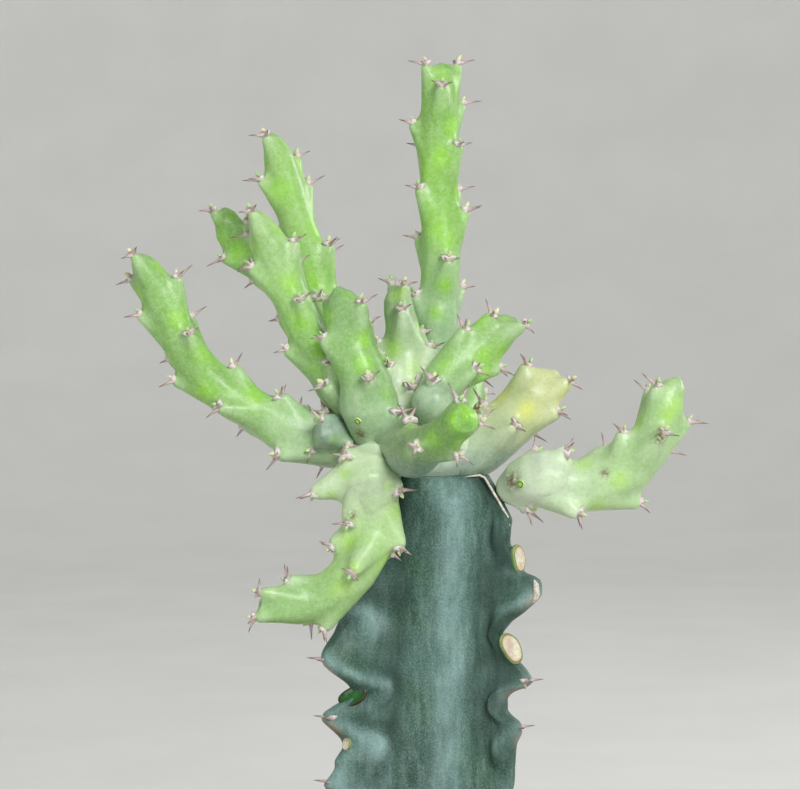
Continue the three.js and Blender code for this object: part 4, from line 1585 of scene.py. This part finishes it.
class EUPHORBIA_OT_stems(bpy.types.Operator):
    """Grow the skin of each stem over its middle line"""

    bl_idname = "euphorbia.stems"
    bl_label = "Stems"

    def execute(self, context):
        settings = context.scene.euphorbia_stems
        green = stem_skin("waxy green stem skin", settings.window, "#c3dcb4")
        pale = stem_skin("waxy pale stem skin", "#a6d85c", "#dcebcf")
        yellow = stem_skin("sunned yellow stem skin", "#dbe06a", "#c4d2b4")
        skins = {
            "stem_centre": (pale, "pale_skin"),
            "stem_right_long": (pale, "pale_skin"),
            "stem_low_left": (pale, "pale_skin"),
            "stem_yellow": (yellow, "yellow_skin"),
        }
        form = tooth_form()
        for name in STEMS:
            stem = Stem(name)
            body = stem_body(stem, form, settings.grain, settings.fillet, settings.softening)
            skin_painting(stem, body)
            material, slot = skins.get(name, (green, "green_skin"))
            dressed(body, material, slot, name)
        discarded([form])
        return {"FINISHED"}


class EUPHORBIA_OT_spines(bpy.types.Operator):
    """Set a horny shield and a pair of spines on every tooth"""

    bl_idname = "euphorbia.spines"
    bl_label = "Shields and spines"

    def execute(self, context):
        radius = context.scene.euphorbia_stems.spine_radius / MM
        material = horn()
        spine, shield = spine_form(), shield_form()
        for name in STEMS:
            stem = Stem(name)
            draw = draws(len(name) * DRAW_STEP)
            parts = []
            for tooth in stem.teeth:
                apex, outward, along, across = heading = heading_of(stem, tooth)
                face = (outward - along * SHIELD_LEAN).normalized()
                age = 1 - tooth[0] / stem.length
                chance = SHIELD_CHANCE * next(draw_again(tooth))
                size = SHIELD_SMALLEST + SHIELD_GROWTH * age + chance
                matrix = laid(apex, across, face.cross(across), face, (size,) * 3)
                parts.append(copy_of(shield, matrix))
                spare = SPINE_LONGEST - SPINE_SHORTEST
                lengths = [SPINE_SHORTEST + spare * next(draw) for _ in range(2)]
                shape = (lengths, radius, SPINE_GAP, SPINE_SPREAD, SPINE_LIFT)
                parts += spine_pair(spine, heading, *shape)
            dressed(joined(name + "_spines", parts), material, "stock_skin")
        parts = []
        lengths = [context.scene.euphorbia_stock.spine_length / MM] * 2
        girth = radius * STOCK_SPINE_GIRTH
        shape = (lengths, girth, STOCK_SPINE_GAP, STOCK_SPINE_SPREAD, STOCK_SPINE_LIFT)
        for wing in WINGS:
            # The tooth whose lip is cork has lost its spines.
            for height in wing["teeth"]:
                if height in LIP_HEIGHTS:
                    continue
                reach = margin_reach(wing, height)
                apex = stock_point(wing["bearing"], reach - 0.6, 0, height)
                outward = stock_point(wing["bearing"], reach + 1, 0, height) - apex
                outward.normalize()
                along = Vector((0, 0, 1))
                across = along.cross(outward)
                parts.append(copy_of(shield, laid(apex, across, along, outward)))
                parts += spine_pair(spine, (apex, outward, along, across), *shape)
        dressed(joined("rootstock_spines", parts), material, "stock_skin")
        discarded([spine, shield])
        return {"FINISHED"}


class EUPHORBIA_OT_buds(bpy.types.Operator):
    """Set the leaf rudiments above the spine pairs"""

    bl_idname = "euphorbia.buds"
    bl_label = "Leaf buds"

    def execute(self, context):
        material = leaf_bud()
        form = bud_form()
        chance = random.Random(BUD_SEED)
        for name in STEMS:
            stem = Stem(name)
            parts = []
            for tooth in stem.teeth:
                apex, outward, along, across = heading_of(stem, tooth)
                size = chance.uniform(0.65, 1.15)
                dryness = chance.random() ** 2
                heading = (along * 0.75 + outward * 0.75 + across * chance.uniform(-0.3, 0.3))
                heading.normalize()
                side = heading.cross(outward).normalized()
                root = apex + along * 0.85 - outward * 0.25
                matrix = laid(root, side, side.cross(heading) * -1, heading, (size,) * 3)
                bud = copy_of(form, matrix)
                painted(bud, dryness=np.full(len(bud.data.vertices), dryness))
                parts.append(bud)
            dressed(joined(name + "_buds", parts), material, "green_skin")
        discarded([form])
        return {"FINISHED"}


class EUPHORBIA_OT_eyes(bpy.types.Operator):
    """Set the eye spots on the swollen feet of the stems"""

    bl_idname = "euphorbia.eyes"
    bl_label = "Eye spots"

    def execute(self, context):
        form = cut_form()
        spots_made = []
        for name, marks in EYES.items():
            for *pixel, size in marks:
                place, outward = place_on(bpy.data.objects[name + "_skin"], pixel)
                side = outward.orthogonal().normalized()
                matrix = laid(place, side, outward.cross(side), outward, (size, size, size * 0.8))
                spots_made.append(copy_of(form, matrix))
        dressed(joined("eye_spots", spots_made), eye_spot(), "green_skin")
        discarded([form])
        return {"FINISHED"}


class EUPHORBIA_OT_studio(bpy.types.Operator):
    """Lay the seamless paper and set the lights and the camera"""

    bl_idname = "euphorbia.studio"
    bl_label = "Studio"

    def execute(self, context):
        settings = context.scene.euphorbia_studio
        reach = settings.sweep / MM
        curve = reach * PAPER_CURVE
        levels = [(reach * share, 0) for share in (0.02, 0.1, 0.3, 0.5)]
        for step in range(9):
            turn = math.pi / 2 * step / 8
            levels.append((reach - curve + curve * math.sin(turn), curve - curve * math.cos(turn)))
        levels.append((reach, reach * PAPER_RISE))
        paper = drawn_out("studio_paper", [hoop(out, z, PAPER_SIDES) for out, z in levels])
        top = [f.index for f in paper.data.polygons if f.center.z > reach * PAPER_TOP * MM]
        cut = bmesh.new()
        cut.from_mesh(paper.data)
        cut.faces.ensure_lookup_table()
        bmesh.ops.delete(cut, geom=[cut.faces[i] for i in top], context="FACES_ONLY")
        cut.to_mesh(paper.data)
        cut.free()
        paper.data.flip_normals()
        alone(paper)
        bpy.ops.object.shade_smooth()
        paper.data.materials.append(studio_paper(settings.paper))

        world = bpy.data.worlds.new("studio air")
        world.use_nodes = True
        world.node_tree.nodes["Background"].inputs["Color"].default_value = rgba("#f2f4f5")
        world.node_tree.nodes["Background"].inputs["Strength"].default_value = AIR_STRENGTH
        context.scene.world = world
        middle = Vector(VIEW_CENTRE) * MM
        lamps = [
            ("key softbox", (0.42, -0.85, 0.62), (0, 0, 0), 0.42, settings.key_power),
            ("fill softbox", (-0.85, -0.7, 0.15), (0, 0, 0), 0.5, settings.fill_power),
            ("edge softbox", (0.8, 0.55, 0.3), (0, 0, 0), 0.35, settings.edge_power),
            ("backdrop light", (0, 0.5, 1.1), (0, 1.9, 0.1), 1.0, settings.backdrop_power),
        ]
        for name, place, aim, size, power in lamps:
            bpy.ops.object.light_add(type="AREA", location=Vector(place) + middle)
            lamp = context.object
            lamp.name = name
            lamp.data.size = size
            lamp.data.energy = power
            lamp.visible_camera = False
            heading = Vector(aim) - Vector(place)
            lamp.rotation_euler = heading.to_track_quat("-Z", "Y").to_euler()

        back = towards_eye()
        bpy.ops.object.camera_add(location=middle + back * VIEW_DISTANCE * MM)
        camera = context.object
        camera.data.sensor_width = SENSOR_WIDTH
        camera.data.lens = VIEW_LENS
        camera.rotation_euler = (-back).to_track_quat("-Z", "Y").to_euler()
        context.scene.camera = camera
        context.scene.view_settings.view_transform = "Standard"
        return {"FINISHED"}


OPERATORS = (
    EUPHORBIA_OT_pot,
    EUPHORBIA_OT_soil,
    EUPHORBIA_OT_rootstock,
    EUPHORBIA_OT_healed_cuts,
    EUPHORBIA_OT_stems,
    EUPHORBIA_OT_eyes,
    EUPHORBIA_OT_spines,
    EUPHORBIA_OT_buds,
    EUPHORBIA_OT_studio,
)


class EUPHORBIA_PT_steps(bpy.types.Panel):
    """The steps that dress the plant, in their order"""

    bl_idname = "EUPHORBIA_PT_steps"
    bl_label = "Potted euphorbia"
    bl_space_type = "VIEW_3D"
    bl_region_type = "UI"
    bl_category = "Euphorbia"

    def draw(self, context):
        for operator in OPERATORS:
            self.layout.operator(operator.bl_idname)
        for name in SETTINGS:
            settings = getattr(context.scene, name)
            for key in settings.bl_rna.properties.keys():
                if key not in {"rna_type", "name"}:
                    self.layout.prop(settings, key)


def register():
    for settings in (*SETTINGS.values(), *OPERATORS, EUPHORBIA_PT_steps):
        bpy.utils.register_class(settings)
    for name, settings in SETTINGS.items():
        setattr(bpy.types.Scene, name, bpy.props.PointerProperty(type=settings))


def unregister():
    for name in SETTINGS:
        delattr(bpy.types.Scene, name)
    for settings in reversed((*SETTINGS.values(), *OPERATORS, EUPHORBIA_PT_steps)):
        bpy.utils.unregister_class(settings)


def main():
    register()
    for operator in OPERATORS:
        group, step = operator.bl_idname.split(".")
        getattr(getattr(bpy.ops, group), step)()


if __name__ == "__main__":
    main()
